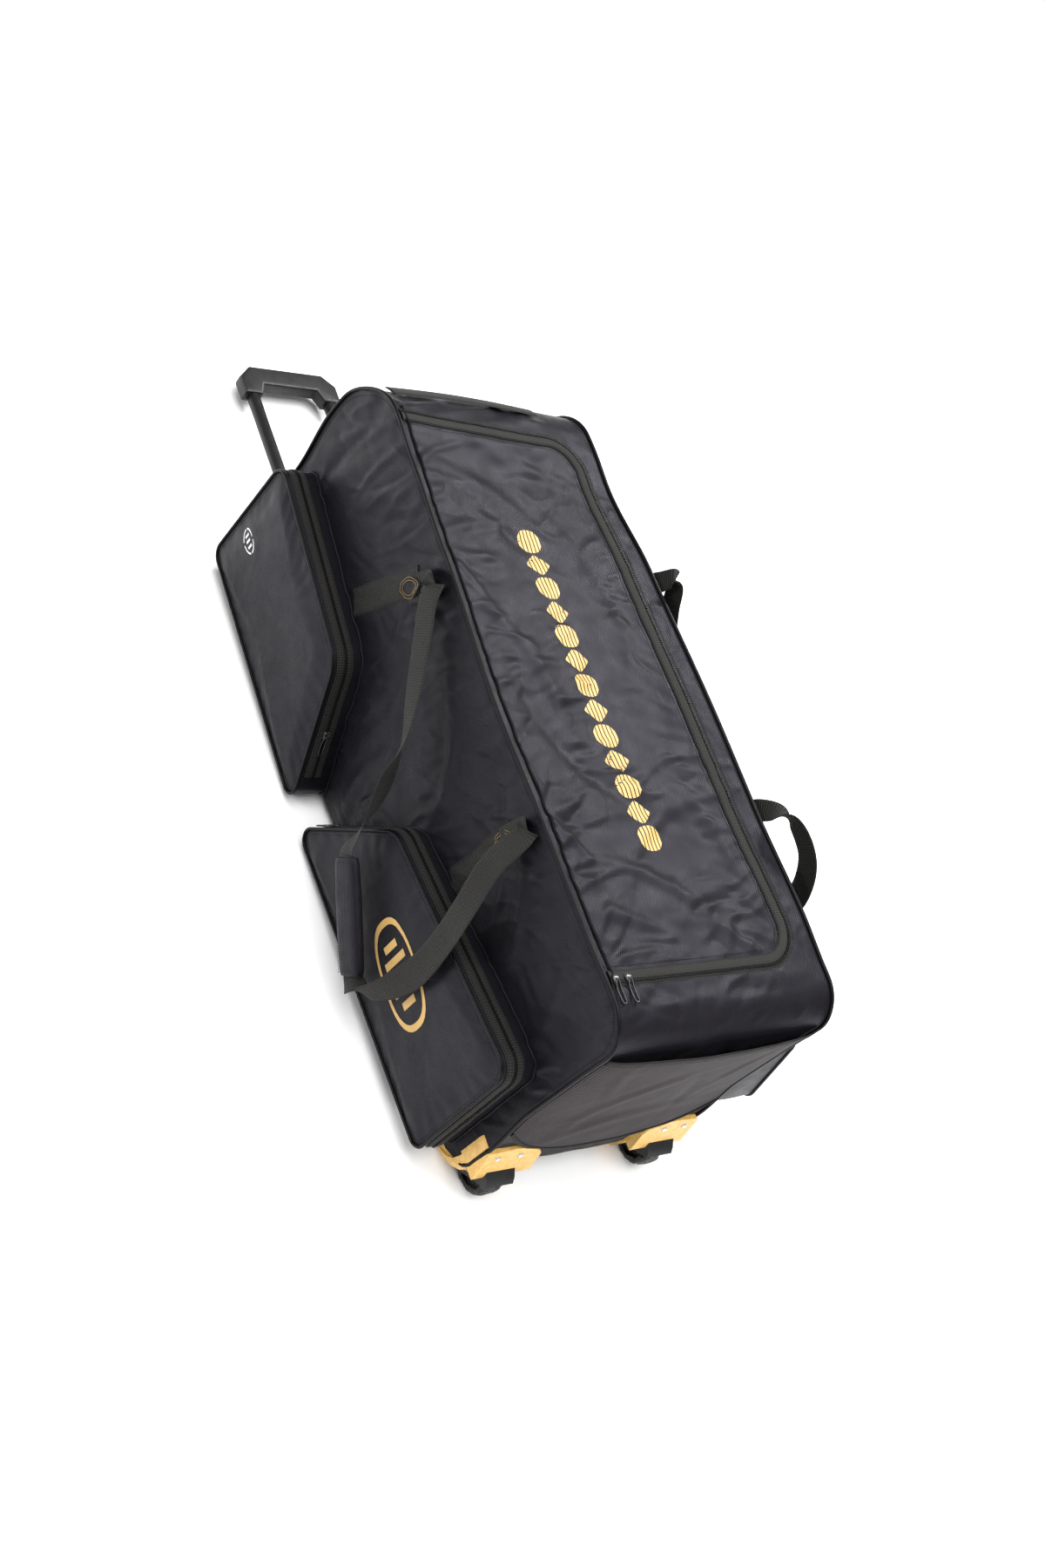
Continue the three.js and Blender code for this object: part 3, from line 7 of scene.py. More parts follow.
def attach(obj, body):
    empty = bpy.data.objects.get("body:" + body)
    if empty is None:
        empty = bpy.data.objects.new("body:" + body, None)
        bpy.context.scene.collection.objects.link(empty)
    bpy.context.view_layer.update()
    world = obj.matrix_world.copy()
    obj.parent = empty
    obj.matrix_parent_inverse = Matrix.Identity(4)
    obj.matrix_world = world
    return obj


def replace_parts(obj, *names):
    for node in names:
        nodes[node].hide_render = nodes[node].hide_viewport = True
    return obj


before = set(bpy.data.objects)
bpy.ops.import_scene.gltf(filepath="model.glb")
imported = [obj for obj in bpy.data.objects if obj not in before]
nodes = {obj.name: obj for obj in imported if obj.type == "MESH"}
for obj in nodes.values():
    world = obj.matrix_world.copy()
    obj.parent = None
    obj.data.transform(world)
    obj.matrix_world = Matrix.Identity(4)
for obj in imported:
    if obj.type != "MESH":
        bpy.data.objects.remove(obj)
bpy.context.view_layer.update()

# All shapes are worked out in millimetres about the middle of the bag's base, then moved to the row frame.
OFFSET = np.array([153.5, 1.855, 0.0])
# Length, width and height of the bag without its pockets, wheels and handle
L, W, H = 960.0, 340.0, 415.0
HL, HW = L / 2, W / 2
# Corner radii of the side outline: top handle end, top wheel end, base wheel end, base handle end
R_TH, R_TW, R_BW, R_BH = 70.0, 45.0, 55.0, 40.0
R_EDGE = 24.0
# How far the handle end, the wheel end and the sides bulge
BULGE_H, BULGE_W, SWELL = 6.0, 3.0, 4.0
# The lid's zip line: its ends, its far side and its corner radius
LID_X0, LID_X1, LID_Y, LID_R = -(HL - 90), HL - 78, HW - 36, 50.0
LID_GROOVE = .9
LID_GROOVE_HALF = 11.5
PIPING_R = 2.5
PIPING_OUT = 1.6
# Inset of the stitches along the side seam, and the half height that it is a share of
SEAM_INSET = 6.5
SEAM_HALF = 207.0
# Insets of the near edge's second seam and of its two rows of stitches
EDGE_SEAM = 11.5
EDGE_SEAM_ROWS = (8.6, 14.6)

# Rise of the top: along as a share of the half length, then near edge, middle and far edge as shares of H
TOP = [(-1.0, 0, 0, -.012), (-.82, .043, .012, -.012), (-.65, .031, -.018, -.024), (-.36, .017, -.03, .002),
       (.1, -.012, -.036, .012), (.45, -.002, -.03, .007), (.72, -.002, -.012, .015), (.88, .007, .004, .007),
       (1.0, 0, 0, 0)]
# Lean of the ends: share of the height, then handle end and wheel end as shares of H
ENDS = [(0, 0, 0), (.28, 0, .008), (.5, .002, -.01), (.74, .024, -.008), (1, 0, 0)]


def smooth(t):
    """0 to 1 with soft ends."""
    t = np.clip(t, 0, 1)
    return t * t * (3 - 2 * t)


def column(rows, k, at):
    """Column k of a table, eased between its rows."""
    at = np.asarray(at, float)
    xs = [r[0] for r in rows]
    i = np.clip(np.searchsorted(xs, at, side="left") - 1, 0, len(rows) - 2)
    a = np.array(xs)[i]
    b = np.array(xs)[i + 1]
    v = np.array([r[k] for r in rows], float)
    return v[i] + (v[i + 1] - v[i]) * smooth((at - a) / (b - a))


def noise(p, seed=0):
    """Smooth gradient noise of an (N, 3) array, about -1 to 1."""
    p = np.asarray(p, float).reshape(-1, 3)
    i = np.floor(p).astype(np.int64)
    f = p - i
    u = f * f * f * (f * (f * 6 - 15) + 10)
    out = np.zeros(len(p))
    for dx in (0, 1):
        for dy in (0, 1):
            for dz in (0, 1):
                h = ((i[:, 0] + dx) * 73856093) ^ ((i[:, 1] + dy) * 19349663)
                h = h ^ ((i[:, 2] + dz) * 83492791) ^ (seed * 2654435)
                h = (h ^ (h >> 13)) * 1274126177 & 0x7FFFFFFF
                h = (h ^ (h >> 15)) * 668265263 & 0x7FFFFFFF
                g = np.stack([((h >> shift) & 1023) / 511.5 - 1 for shift in (0, 10, 20)], 1)
                d = f - np.array([dx, dy, dz])
                w = np.where((dx, dy, dz), u, 1 - u).prod(1)
                out += w * (g * d).sum(1)
    return out


def folds(u, v, table):
    """Sum of soft ridges: (u, v, direction in degrees, half length, half width, height) in millimetres."""
    out = np.zeros_like(u)
    for cu, cv, turn, reach, width, height in table:
        c, s = math.cos(math.radians(turn)), math.sin(math.radians(turn))
        a = (u - cu) * c + (v - cv) * s
        b = (v - cv) * c - (u - cu) * s + 0.0022 * a * a * np.sign(height)
        q = b / width
        out += height * np.exp(-(a / reach) ** 2) * (1 - 0.7 * q * q) * np.exp(-q * q)
    return out


def puckers(lengthways, edge, depth, spacing, seed, tall=2.0, lean=90.0):
    """Short slanting puckers that start at a seam: (u, v, turn, reach, width, height) rows."""
    rng = np.random.default_rng(seed)
    rows = []
    for u in np.arange(lengthways[0], lengthways[1], spacing):
        turn = lean + rng.uniform(-24, 24)
        reach = rng.uniform(.55, 1.1) * depth
        v = edge + np.sign(depth) * abs(reach) * .55
        height = tall * rng.uniform(.45, 1.1) * (1 if rng.random() < .6 else -1)
        at = u + rng.uniform(-.4, .4) * spacing
        rows.append((at, v, turn, abs(reach) * .8, rng.uniform(5, 11), height))
    return rows


def rays(u, v, turns, reach, width, height):
    """Creases that run out from one point, such as a strap's anchor."""
    rows = []
    for k, turn in enumerate(turns):
        c, s = math.cos(math.radians(turn)), math.sin(math.radians(turn))
        tall = height * (1 if k % 2 == 0 else -.8)
        rows.append((u + c * reach * .75, v + s * reach * .75, turn, reach * .6, width, tall))
    return rows


def creases(u, v, turn, long, short, seed):
    """Sharp crumples that run mostly along one direction, 0 to 1."""
    c, s = math.cos(math.radians(turn)), math.sin(math.radians(turn))
    a, b = (u * c + v * s) / long, (v * c - u * s) / short
    q = np.stack([a, b, 0 * a], 1)
    q[:, 1] += .9 * noise(q * np.array([1.6, .35, 1]) + 3, seed + 3)
    line = np.clip(1 - 4.6 * np.abs(noise(q, seed)), 0, 1) ** 1.6
    where = smooth(.5 + 2.2 * noise(np.stack([u / 95, v / 75, 0 * a], 1), seed + 1))
    return line * where


def cloth_noise(p, amount=1.0, seed=0):
    """Crumple of loosely filled cloth, from large dents to small creases."""
    q = p + 14 * np.stack([noise(p / 90 + at, seed + k) for at, k in ((7, 5), (31, 6), (53, 7))], 1)
    big = noise(q / 120, seed)
    mid = noise(q / 46, seed + 1)
    ridge = 1 - np.abs(noise(q / 70, seed + 2)) * 3.2
    fine = noise(q / 17, seed + 3)
    return amount * (2.1 * big + 0.9 * mid + 0.5 * np.clip(ridge, 0, 1) ** 2 + 0.16 * fine)


def top_rise(x, y):
    """How far the top lies over or under the plain height."""
    at = x / HL
    u = np.clip(y / HW, -1, 1)
    near, far = column(TOP, 1, at), column(TOP, 3, at)
    edge = near + (far - near) * (u + 1) / 2
    sag = column(TOP, 2, at) - (near + far) / 2
    return (edge + sag * (1 - u * u)) * H


def body_point(x, h, y):
    """Point of the uncreased body at x, plain height h and y."""
    across = np.abs(y) / HW
    past = np.maximum(0, np.abs(y) - (HW - R_EDGE))
    lift = R_EDGE - np.sqrt(np.maximum(0, R_EDGE * R_EDGE - past * past))
    share = h / H
    end = np.where(x > 0, column(ENDS, 2, share), column(ENDS, 1, share)) * H
    out = np.where(x > 0, BULGE_W, BULGE_H) * np.maximum(0, 1 - across * across) + end
    near_end = smooth((np.abs(x) - HL * .88) / (HL * .12))
    z = h + top_rise(x, y) * smooth((share - .55) / .45) + lift * (1 - smooth(share / .25))
    return np.stack([x + np.sign(x) * out * near_end, y + 0 * x, z], -1)


def outline(n):
    """The plain side outline as n even points, from the handle end's base round by the wheel end."""
    pts = []

    def arc(cx, cz, r, a0, a1):
        for a in np.linspace(a0, a1, 40):
            pts.append((cx + r * math.cos(math.radians(a)), cz + r * math.sin(math.radians(a))))

    arc(-HL + R_BH, R_BH, R_BH, 180, 270)
    arc(HL - R_BW, R_BW, R_BW, 270, 360)
    arc(HL - R_TW, H - R_TW, R_TW, 0, 90)
    arc(-HL + R_TH, H - R_TH, R_TH, 90, 180)
    p = np.array(pts + pts[:1])
    d = np.r_[0, np.cumsum(np.hypot(*np.diff(p, axis=0).T))]
    s = np.linspace(0, d[-1], n + 1)[:-1]
    return np.stack([np.interp(s, d, p[:, 0]), np.interp(s, d, p[:, 1])], 1), s


def lid_distance(x, y):
    """Signed distance in plan from the middle of the lid's zip, negative on the lid."""
    cx, hx = (LID_X0 + LID_X1) / 2, (LID_X1 - LID_X0) / 2
    qx, qy = np.abs(x - cx) - (hx - LID_R), y - (LID_Y - LID_R)
    return np.hypot(np.maximum(qx, 0), np.maximum(qy, 0)) + np.minimum(np.maximum(qx, qy), 0) - LID_R


# Folds: along, across, direction in degrees, half length, half width, height
TOP_FOLDS = [(-300, -60, 62, 90, 17, 2.6), (-220, -30, 48, 80, 15, -2.4), (-60, -90, 28, 110, 16, 2.8),
             (10, -40, 118, 80, 14, 2.2), (120, -70, 38, 120, 17, -3.0), (200, 10, 120, 95, 14, 3.0),
             (270, -40, 62, 85, 13, 3.0), (320, 40, 100, 70, 12, -2.6), (330, -90, 70, 70, 12, 2.6),
             (370, 60, 48, 60, 10, 2.2), (230, 100, 12, 90, 13, 2.0), (-120, 90, 4, 130, 15, 2.0),
             (-330, 80, 74, 70, 14, 2.2), (40, 100, 160, 90, 14, -1.8), (440, -60, 92, 70, 13, 2.0),
             (438, 70, 84, 60, 12, -1.8)]
TOP_FOLDS += puckers((-440, 460), -HW, 92, 33, 8, 2.3, 112)
TOP_FOLDS += puckers((390, 452), -140, 60, 12, 9, 1.8, 75)
TOP_FOLDS += puckers((-150, 380), LID_Y - 14, -46, 26, 10, 1.5, 60)
TOP_FOLDS += rays(-183, -HW + 8, (35, 62, 95, 128), 52, 8, 2.2)
TOP_FOLDS += rays(190, -HW + 8, (40, 75, 110, 145), 56, 8, 2.4)


def top_crumple(p):
    """Height of the top's creases, seam puckers and zip puckers at points p."""
    x, y = p[:, 0], p[:, 1]
    d = lid_distance(x, y)
    fade = smooth((HW - np.abs(y)) / 14)
    near_seam = np.exp(-((HW + y) / 17) ** 1.2) * (HW + y) / 9
    pucker = 0.5 * near_seam * np.sin(x / 5.2 + 5 * noise(np.stack([x / 60, y / 200, 0 * x], 1), 21))
    zip_pucker = 0.55 * np.exp(-np.abs(np.abs(d) - 18) / 9) * noise(np.stack([x / 13, y / 13, 0 * x], 1), 22)
    form = folds(x, y, TOP_FOLDS) + cloth_noise(p, 0.9, 40)
    form = form + 2.6 * creases(x, y, 108, 110, 34, 501) - 1.6 * creases(x, y, 132, 90, 34, 511)
    flat = 1 - np.exp(-(d / 17) ** 2)
    return fade * (form * (0.25 + 0.75 * flat) + zip_pucker * 1.6) + pucker * 0.5


SIDE_FOLDS = [(-330, 330, 62, 80, 15, 3.0), (-260, 360, 100, 50, 12, 2.2), (-110, 330, -58, 110, 15, 2.8),
              (-60, 250, -50, 120, 17, -3.2), (20, 320, -32, 110, 15, 2.6), (70, 270, -62, 90, 14, 2.6),
              (120, 340, 30, 80, 12, 2.2), (150, 300, -72, 70, 11, -2.6), (260, 330, -40, 90, 14, 3.0),
              (330, 350, 20, 80, 13, 2.2), (400, 300, -70, 80, 15, 2.6), (-40, 140, 84, 110, 15, 3.0),
              (-10, 60, 96, 80, 14, -2.4), (-420, 300, 78, 80, 15, -2.6), (180, 260, -86, 60, 12, 2.2),
              (240, 290, -60, 60, 10, 2.0)]
SIDE_FOLDS += puckers((-430, 450), H, -100, 33, 18, 2.6, 62)
SIDE_FOLDS += puckers((-55, 440), 225, 46, 24, 19, 1.4, 70)
SIDE_FOLDS += rays(-183, 340, (-140, -100, -62, -25, 20), 60, 8, 2.4)
SIDE_FOLDS += rays(190, 345, (-150, -112, -75, -40, 25, 160), 60, 8, 2.6)


def side_crumple(x, h, sign):
    """Height of a side panel's creases and puckers at x and plain height h."""
    edge = np.minimum(np.minimum(h, H - h), np.minimum(x + HL, HL - x))
    fade = smooth(edge / 16)
    p = np.stack([x, np.full_like(x, sign * 300.0), h], 1)
    near_top = np.exp(-((H - h) / 18) ** 1.2) * (H - h) / 9
    pucker = 0.55 * near_top * np.sin(x / 5.6 + 5 * noise(np.stack([x / 60, h / 200, 0 * x], 1), 61))
    form = folds(x if sign < 0 else -x, h, SIDE_FOLDS) + cloth_noise(p, 1.0, 70 if sign < 0 else 90)
    form = form + 2.4 * creases(x, h, 60, 110, 32, 521 if sign < 0 else 541)
    form = form - 1.5 * creases(x, h, 36, 90, 32, 531)
    return fade * form + pucker


def side_swell(x, h):
    """How far a filled side panel stands out."""
    return SWELL * np.maximum(0, 1 - (x / HL) ** 2) * np.maximum(0, 1 - ((h - H / 2) / (H / 2)) ** 2)


def plain_height(x, z, sign):
    """The plain height whose surface lies at z on a side panel."""
    h = np.array(z, float)
    for _ in range(4):
        h = z - top_rise(x, sign * HW + 0 * x) * smooth((h / H - .55) / .45)
    return h


def pair(a, b):
    """Two numbers or lists as float arrays."""
    return np.atleast_1d(np.asarray(a, float)), np.atleast_1d(np.asarray(b, float))


def side_out(x, z, sign):
    """How far a side panel stands out of the plain box at x, z."""
    x, z = pair(x, z)
    h = plain_height(x, z, sign)
    return side_swell(x, h) + side_crumple(x, h, sign)


def upright(q, y=0.0):
    """Rows of (x, z) as points at y."""
    return np.stack([q[:, 0], y + 0 * q[:, 0], q[:, 1]], 1)


def on_side(q, sign, lift):
    """Points of a side panel at the (x, z) rows of q, lifted off it."""
    return upright(q, sign * (HW + side_out(q[:, 0], q[:, 1], sign) + lift))


def top_point(x, y, lift=0.0):
    x, y = pair(x, y)
    p = body_point(x, np.full_like(x, H), y)
    q = p.copy()
    q[:, 2] += top_crumple(p) + lift
    return q


# Meshes

def unit(v):
    """Rows of v at length 1."""
    return v / np.maximum(np.linalg.norm(v, axis=-1, keepdims=True), 1e-9)


def run_length(P):
    """Distance along the rows of P from the first."""
    return np.r_[0, np.cumsum(np.linalg.norm(np.diff(P, axis=0), axis=1))]


def build(name, verts, faces, mats, body="bag", uv=None, smooth_shade=True, face_mats=None):
    """Object from millimetres about the bag's base, riding on a body, with uv in metres."""
    me = bpy.data.meshes.new(name)
    v = (np.asarray(verts, float).reshape(-1, 3) + OFFSET) / 1000
    me.from_pydata(v.tolist(), [], [list(map(int, f)) for f in faces])
    me.update()
    for m in mats:
        me.materials.append(m)
    if face_mats is not None:
        me.polygons.foreach_set("material_index", np.asarray(face_mats, np.int32))
    if smooth_shade:
        me.polygons.foreach_set("use_smooth", np.ones(len(me.polygons), bool))
    if uv is not None:
        layer = me.uv_layers.new(name="UVMap")
        idx = np.zeros(len(me.loops), np.int32)
        me.loops.foreach_get("vertex_index", idx)
        layer.data.foreach_set("uv", (np.asarray(uv, float)[idx] / 1000).ravel())
    ob = bpy.data.objects.new(name, me)
    bpy.context.scene.collection.objects.link(ob)
    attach(ob, body)
    return ob


def grid_faces(rows, cols, closed=False, start=0, flip=False):
    """Four-sided faces of a grid, closed round its columns if asked."""
    r, c = np.meshgrid(np.arange(rows - 1), np.arange(cols if closed else cols - 1), indexing="ij")
    a = start + r * cols + c
    b = start + r * cols + (c + 1) % cols
    f = np.stack([a, b, b + cols, a + cols], -1).reshape(-1, 4)
    return f[:, ::-1] if flip else f


def ring_close(rows, cols):
    """Faces that join the last row of a grid, closed round its columns, to its first row."""
    c = np.arange(cols)
    last = (rows - 1) * cols
    return np.stack([last + c, last + (c + 1) % cols, (c + 1) % cols, c], 1)


def end_caps(rows, cols):
    """Faces over both ends of a grid that is closed round its columns."""
    return [list(range(cols))[::-1], list(range((rows - 1) * cols, rows * cols))]


def frame_along(P, hint):
    """Unit tangents and unit across directions of a path, from a hint at each point."""
    t = unit(np.gradient(P, axis=0))
    return t, unit(hint - (hint * t).sum(1, keepdims=True) * t)


def resample(P, step, closed=False):
    """Rows of P at even steps, and their distances along it."""
    if closed:
        P = np.vstack([P, P[:1]])
    d = run_length(P)
    n = max(2, int(round(d[-1] / step)))
    s = np.linspace(0, d[-1], n + 1)
    if closed:
        s = s[:-1]
    return np.stack([np.interp(s, d, P[:, k]) for k in range(P.shape[1])], 1), s


def tube(name, P, radius, mats, sides=12, closed=False):
    """Cord along the rows of P."""
    hint = np.tile([0.0, 1, 0], (len(P), 1))
    if closed:
        t = unit(np.roll(P, -1, 0) - np.roll(P, 1, 0))
        a = unit(hint - (hint * t).sum(1, keepdims=True) * t)
    else:
        t, a = frame_along(P, hint)
    b = np.cross(t, a)
    ang = np.linspace(0, 2 * np.pi, sides, endpoint=False)
    rad = np.full(len(P), radius) * (1 + 0.05 * noise(P / 14, 77))
    if not closed:
        rad[0] *= .6
        rad[-1] *= .6
    around = np.cos(ang)[None, :, None] * a[:, None] + np.sin(ang)[None, :, None] * b[:, None]
    V = P[:, None] + rad[:, None, None] * around
    n = len(P)
    F = grid_faces(n, sides, closed=True).tolist()
    F += ring_close(n, sides).tolist() if closed else end_caps(n, sides)
    uv = np.stack([np.repeat(run_length(P), sides), np.tile(ang * radius, n)], 1)
    return build(name, V, F, mats, uv=uv)


def band_mesh(P, across, normal, width, thickness, cols=9, crown=0.0, edge_noise=0.0, seed=0, squeeze=1.0):
    """Closed ribbon as vertices, faces and uv: across and normal are unit arrays."""
    u = np.linspace(-1, 1, cols)
    round_edge = np.sqrt(np.maximum(0, 1 - np.abs(u) ** 10))
    n = len(P)
    d = run_length(P)
    wide = squeeze * (1 + edge_noise * noise(np.stack([d / 40, d * 0, d * 0], 1), seed))
    twist = 4.5 * edge_noise * noise(np.stack([d / 70, d * 0 + 3, d * 0], 1), seed + 1)
    mid = P[:, None] + across[:, None] * (u[None, :, None] * width / 2 * wide[:, None, None])
    mid = mid + normal[:, None] * (crown * (1 - u ** 2) + twist[:, None] * u)[:, :, None]
    half = normal[:, None] * (thickness / 2 * np.maximum(round_edge, .35))[None, :, None]
    ring = np.concatenate([mid + half, (mid - half)[:, ::-1]], 1)
    m = 2 * cols
    faces = grid_faces(n, m, closed=True).tolist() + end_caps(n, m)
    uv = np.stack([np.repeat(d, m), np.tile(np.concatenate([u, u[::-1]]) * width / 2, n)], 1)
    return ring.reshape(-1, 3), faces, uv


def stitches(name, path, normal, mats, step=3.7, length=2.5, size=0.55, closed=False):
    """Row of small raised thread stitches along a path."""
    lift = .25
    n_hint = np.asarray(normal, float)
    if n_hint.ndim == 1:
        n_hint = np.tile(n_hint, (len(path), 1))
    Q, _ = resample(np.hstack([path, n_hint]), step, closed)
    P, N = Q[:, :3], Q[:, 3:]
    N = unit(N)
    T = unit(np.gradient(P, axis=0))
    B = np.cross(T, N)
    V, F, uv = [], [], []
    sec = np.array([[-1, -.2], [-.6, .7], [.6, .7], [1, -.2]])
    for i, (p, t, b, m) in enumerate(zip(P, T, B, N)):
        base = len(V)
        for along, big in ((-.5, .45), (-.22, 1), (.22, 1), (.5, .45)):
            for sx, sy in sec:
                thick = size * big
                V.append(p + m * (lift + sy * thick * .6) + t * along * length + b * sx * thick * .5)
                uv.append((i * step + along, sx))
        for k in range(3):
            for j in range(4):
                a, c = base + k * 4 + j, base + k * 4 + (j + 1) % 4
                F.append([a, c, c + 4, a + 4])
        F.append([base + 3, base + 2, base + 1, base])
        F.append([base + 12, base + 13, base + 14, base + 15])
    return build(name, V, F, mats, uv=uv)


def teeth(path, normal, across, step=2.6, width=5.0, height=1.5, length=1.35):
    """Zip coil: small crossing bars, returned as vertices and faces."""
    Q, _ = resample(np.hstack([path, normal, across]), step)
    V, F = [], []
    for i, q in enumerate(Q):
        p, n, a = q[:3], unit(q[3:6]), unit(q[6:9])
        t = np.cross(a, n)
        shift = (0.5 if i % 2 else -0.5) * width * .18
        base = len(V)
        for su in (-.5, .5):
            for sn, w in ((0, 1.0), (1, .72)):
                for st in (-.5, .5):
                    V.append(p + a * (shift + su * width * w) + n * sn * height + t * st * length)
        for f in ((0, 1, 3, 2), (4, 6, 7, 5), (0, 4, 5, 1), (2, 3, 7, 6), (0, 2, 6, 4), (1, 5, 7, 3)):
            F.append([base + k for k in f])
    return V, F


# Materials: node groups that read UV in metres, or the object's own metres

def material(name):
    m = bpy.data.materials.new(name)
    m.use_nodes = True
    nt = m.node_tree
    b = nt.nodes["Principled BSDF"]
    return m, nt, b


def put(shader, **values):
    """Sets inputs of a shader by name, with _ for each space."""
    for key, value in values.items():
        shader.inputs[key.replace("_", " ")].default_value = value


def coords(nt, uv=True, turn=0.0):
    tc = nt.nodes.new("ShaderNodeTexCoord")
    mp = nt.nodes.new("ShaderNodeMapping")
    put(mp, Rotation=(0, 0, turn))
    nt.links.new(tc.outputs["UV" if uv else "Object"], mp.inputs["Vector"])
    return mp.outputs["Vector"]


def ramp(nt, fac, stops):
    r = nt.nodes.new("ShaderNodeValToRGB")
    while len(r.color_ramp.elements) < len(stops):
        r.color_ramp.elements.new(0.5)
    for e, (pos, col) in zip(r.color_ramp.elements, stops):
        e.position = pos
        e.color = (*col, 1) if len(col) == 3 else col
    nt.links.new(fac, r.inputs["Fac"])
    return r.outputs["Color"]


def mix(nt, kind, a, b, fac=None, value=0.5):
    n = nt.nodes.new("ShaderNodeMixRGB")
    n.blend_type = kind
    n.inputs["Fac"].default_value = value
    if fac is not None:
        nt.links.new(fac, n.inputs["Fac"])
    for s, k in ((a, "Color1"), (b, "Color2")):
        if isinstance(s, tuple):
            n.inputs[k].default_value = (*s, 1)
        else:
            nt.links.new(s, n.inputs[k])
    return n.outputs["Color"]


def math_node(nt, op, a, b=None):
    n = nt.nodes.new("ShaderNodeMath")
    n.operation = op
    for i, s in enumerate((a, b)):
        if s is None:
            continue
        if isinstance(s, (int, float)):
            n.inputs[i].default_value = s
        else:
            nt.links.new(s, n.inputs[i])
    return n.outputs[0]


def blend(nt, a, share_a, b, share_b):
    """Sum of two patterns, each times its share."""
    return math_node(nt, "ADD", math_node(nt, "MULTIPLY", a, share_a), math_node(nt, "MULTIPLY", b, share_b))


def grey(low, high, start=.3, end=.7):
    """Ramp stops from one grey to another."""
    return [(start, (low,) * 3), (end, (high,) * 3)]


def bump(nt, height, strength, distance, before=None):
    n = nt.nodes.new("ShaderNodeBump")
    put(n, Strength=strength, Distance=distance)
    nt.links.new(height, n.inputs["Height"])
    if before is not None:
        nt.links.new(before, n.inputs["Normal"])
    return n.outputs["Normal"]


def wave(nt, vec, scale, direction, distortion, detail_scale):
    n = nt.nodes.new("ShaderNodeTexWave")
    n.wave_type = "BANDS"
    n.bands_direction = direction
    put(n, Scale=scale, Distortion=distortion, Detail=1.0, Detail_Scale=detail_scale)
    nt.links.new(vec, n.inputs["Vector"])
    return n.outputs["Fac"]


def noise_tex(nt, vec, scale, detail=4.0, rough=0.55):
    n = nt.nodes.new("ShaderNodeTexNoise")
    put(n, Scale=scale, Detail=detail, Roughness=rough)
    nt.links.new(vec, n.inputs["Vector"])
    return n.outputs["Fac"]


def period(mm):
    """Scale of a wave texture whose bands repeat every so many millimetres."""
    return 2 * math.pi / 20 / (mm / 1000)


def twill(name, base, light, rough):
    m, nt, b = material(name)
    weave, strength = 2.1, .5
    v = coords(nt)
    obj = coords(nt, uv=False)
    w1 = wave(nt, coords(nt, turn=math.radians(52)), period(weave), "X", 0.6, 3)
    w2 = wave(nt, v, period(weave * .8), "Y", 0.4, 3)
    tone = noise_tex(nt, obj, 9, 5, .6)
    fuzz = noise_tex(nt, obj, 900, 2, .5)
    pat = blend(nt, w1, .7, w2, .3)
    shade = ramp(nt, tone, [(.25, tuple(c * .86 for c in base)), (.75, tuple(c * 1.18 for c in base))])
    lit = mix(nt, "MIX", shade, light, math_node(nt, "MULTIPLY", pat, .42))
    lit = mix(nt, "MULTIPLY", lit, ramp(nt, fuzz, grey(.8, 1.12)), value=.6)
    nt.links.new(lit, b.inputs["Base Color"])
    gloss = ramp(nt, noise_tex(nt, obj, 34, 4, .6), grey(rough - .06, rough + .08))
    nt.links.new(gloss, b.inputs["Roughness"])
    put(b, Specular_IOR_Level=.145, Specular_Tint=(.86, .84, 1, 1))
    put(b, Sheen_Weight=.015, Sheen_Roughness=.4, Sheen_Tint=(.8, .78, .95, 1))
    crease = bump(nt, noise_tex(nt, obj, 46, 6, .62), .3, .0016)
    nt.links.new(bump(nt, pat, strength, .0004, crease), b.inputs["Normal"])
    return m


def webbing(name):
    m, nt, b = material(name)
    base, light = (.0030, .0029, .0024), (.0140, .0136, .0114)
    v = coords(nt)
    ribs = wave(nt, v, period(3.3), "X", 0.5, 4)
    lines = wave(nt, v, period(3.4), "Y", 0.2, 2)
    pat = blend(nt, ribs, .62, lines, .38)
    col = ramp(nt, pat, [(.18, tuple(c * .7 for c in base)), (.85, light)])
    tone = noise_tex(nt, coords(nt, uv=False), 30, 4, .6)
    worn = ramp(nt, tone, [(.3, (.8, .8, .8)), (.7, (1.15, 1.15, 1.12))])
    nt.links.new(mix(nt, "MULTIPLY", col, worn, value=.8), b.inputs["Base Color"])
    put(b, Roughness=.68, Specular_IOR_Level=.25, Sheen_Weight=.03)
    nt.links.new(bump(nt, pat, .9, .0009), b.inputs["Normal"])
    return m


def tape_mat(name):
    m, nt, b = material(name)
    v = coords(nt)
    ribs = wave(nt, v, period(.9), "Y", 0.2, 3)
    cross = wave(nt, v, period(1.2), "X", 0.3, 3)
    pat = blend(nt, ribs, .6, cross, .4)
    col = ramp(nt, pat, [(.2, (.0032, .0031, .0026)), (.85, (.0098, .0095, .0081))])
    nt.links.new(col, b.inputs["Base Color"])
    put(b, Roughness=.72, Specular_IOR_Level=.22)
    nt.links.new(bump(nt, pat, .5, .00025), b.inputs["Normal"])
    return m


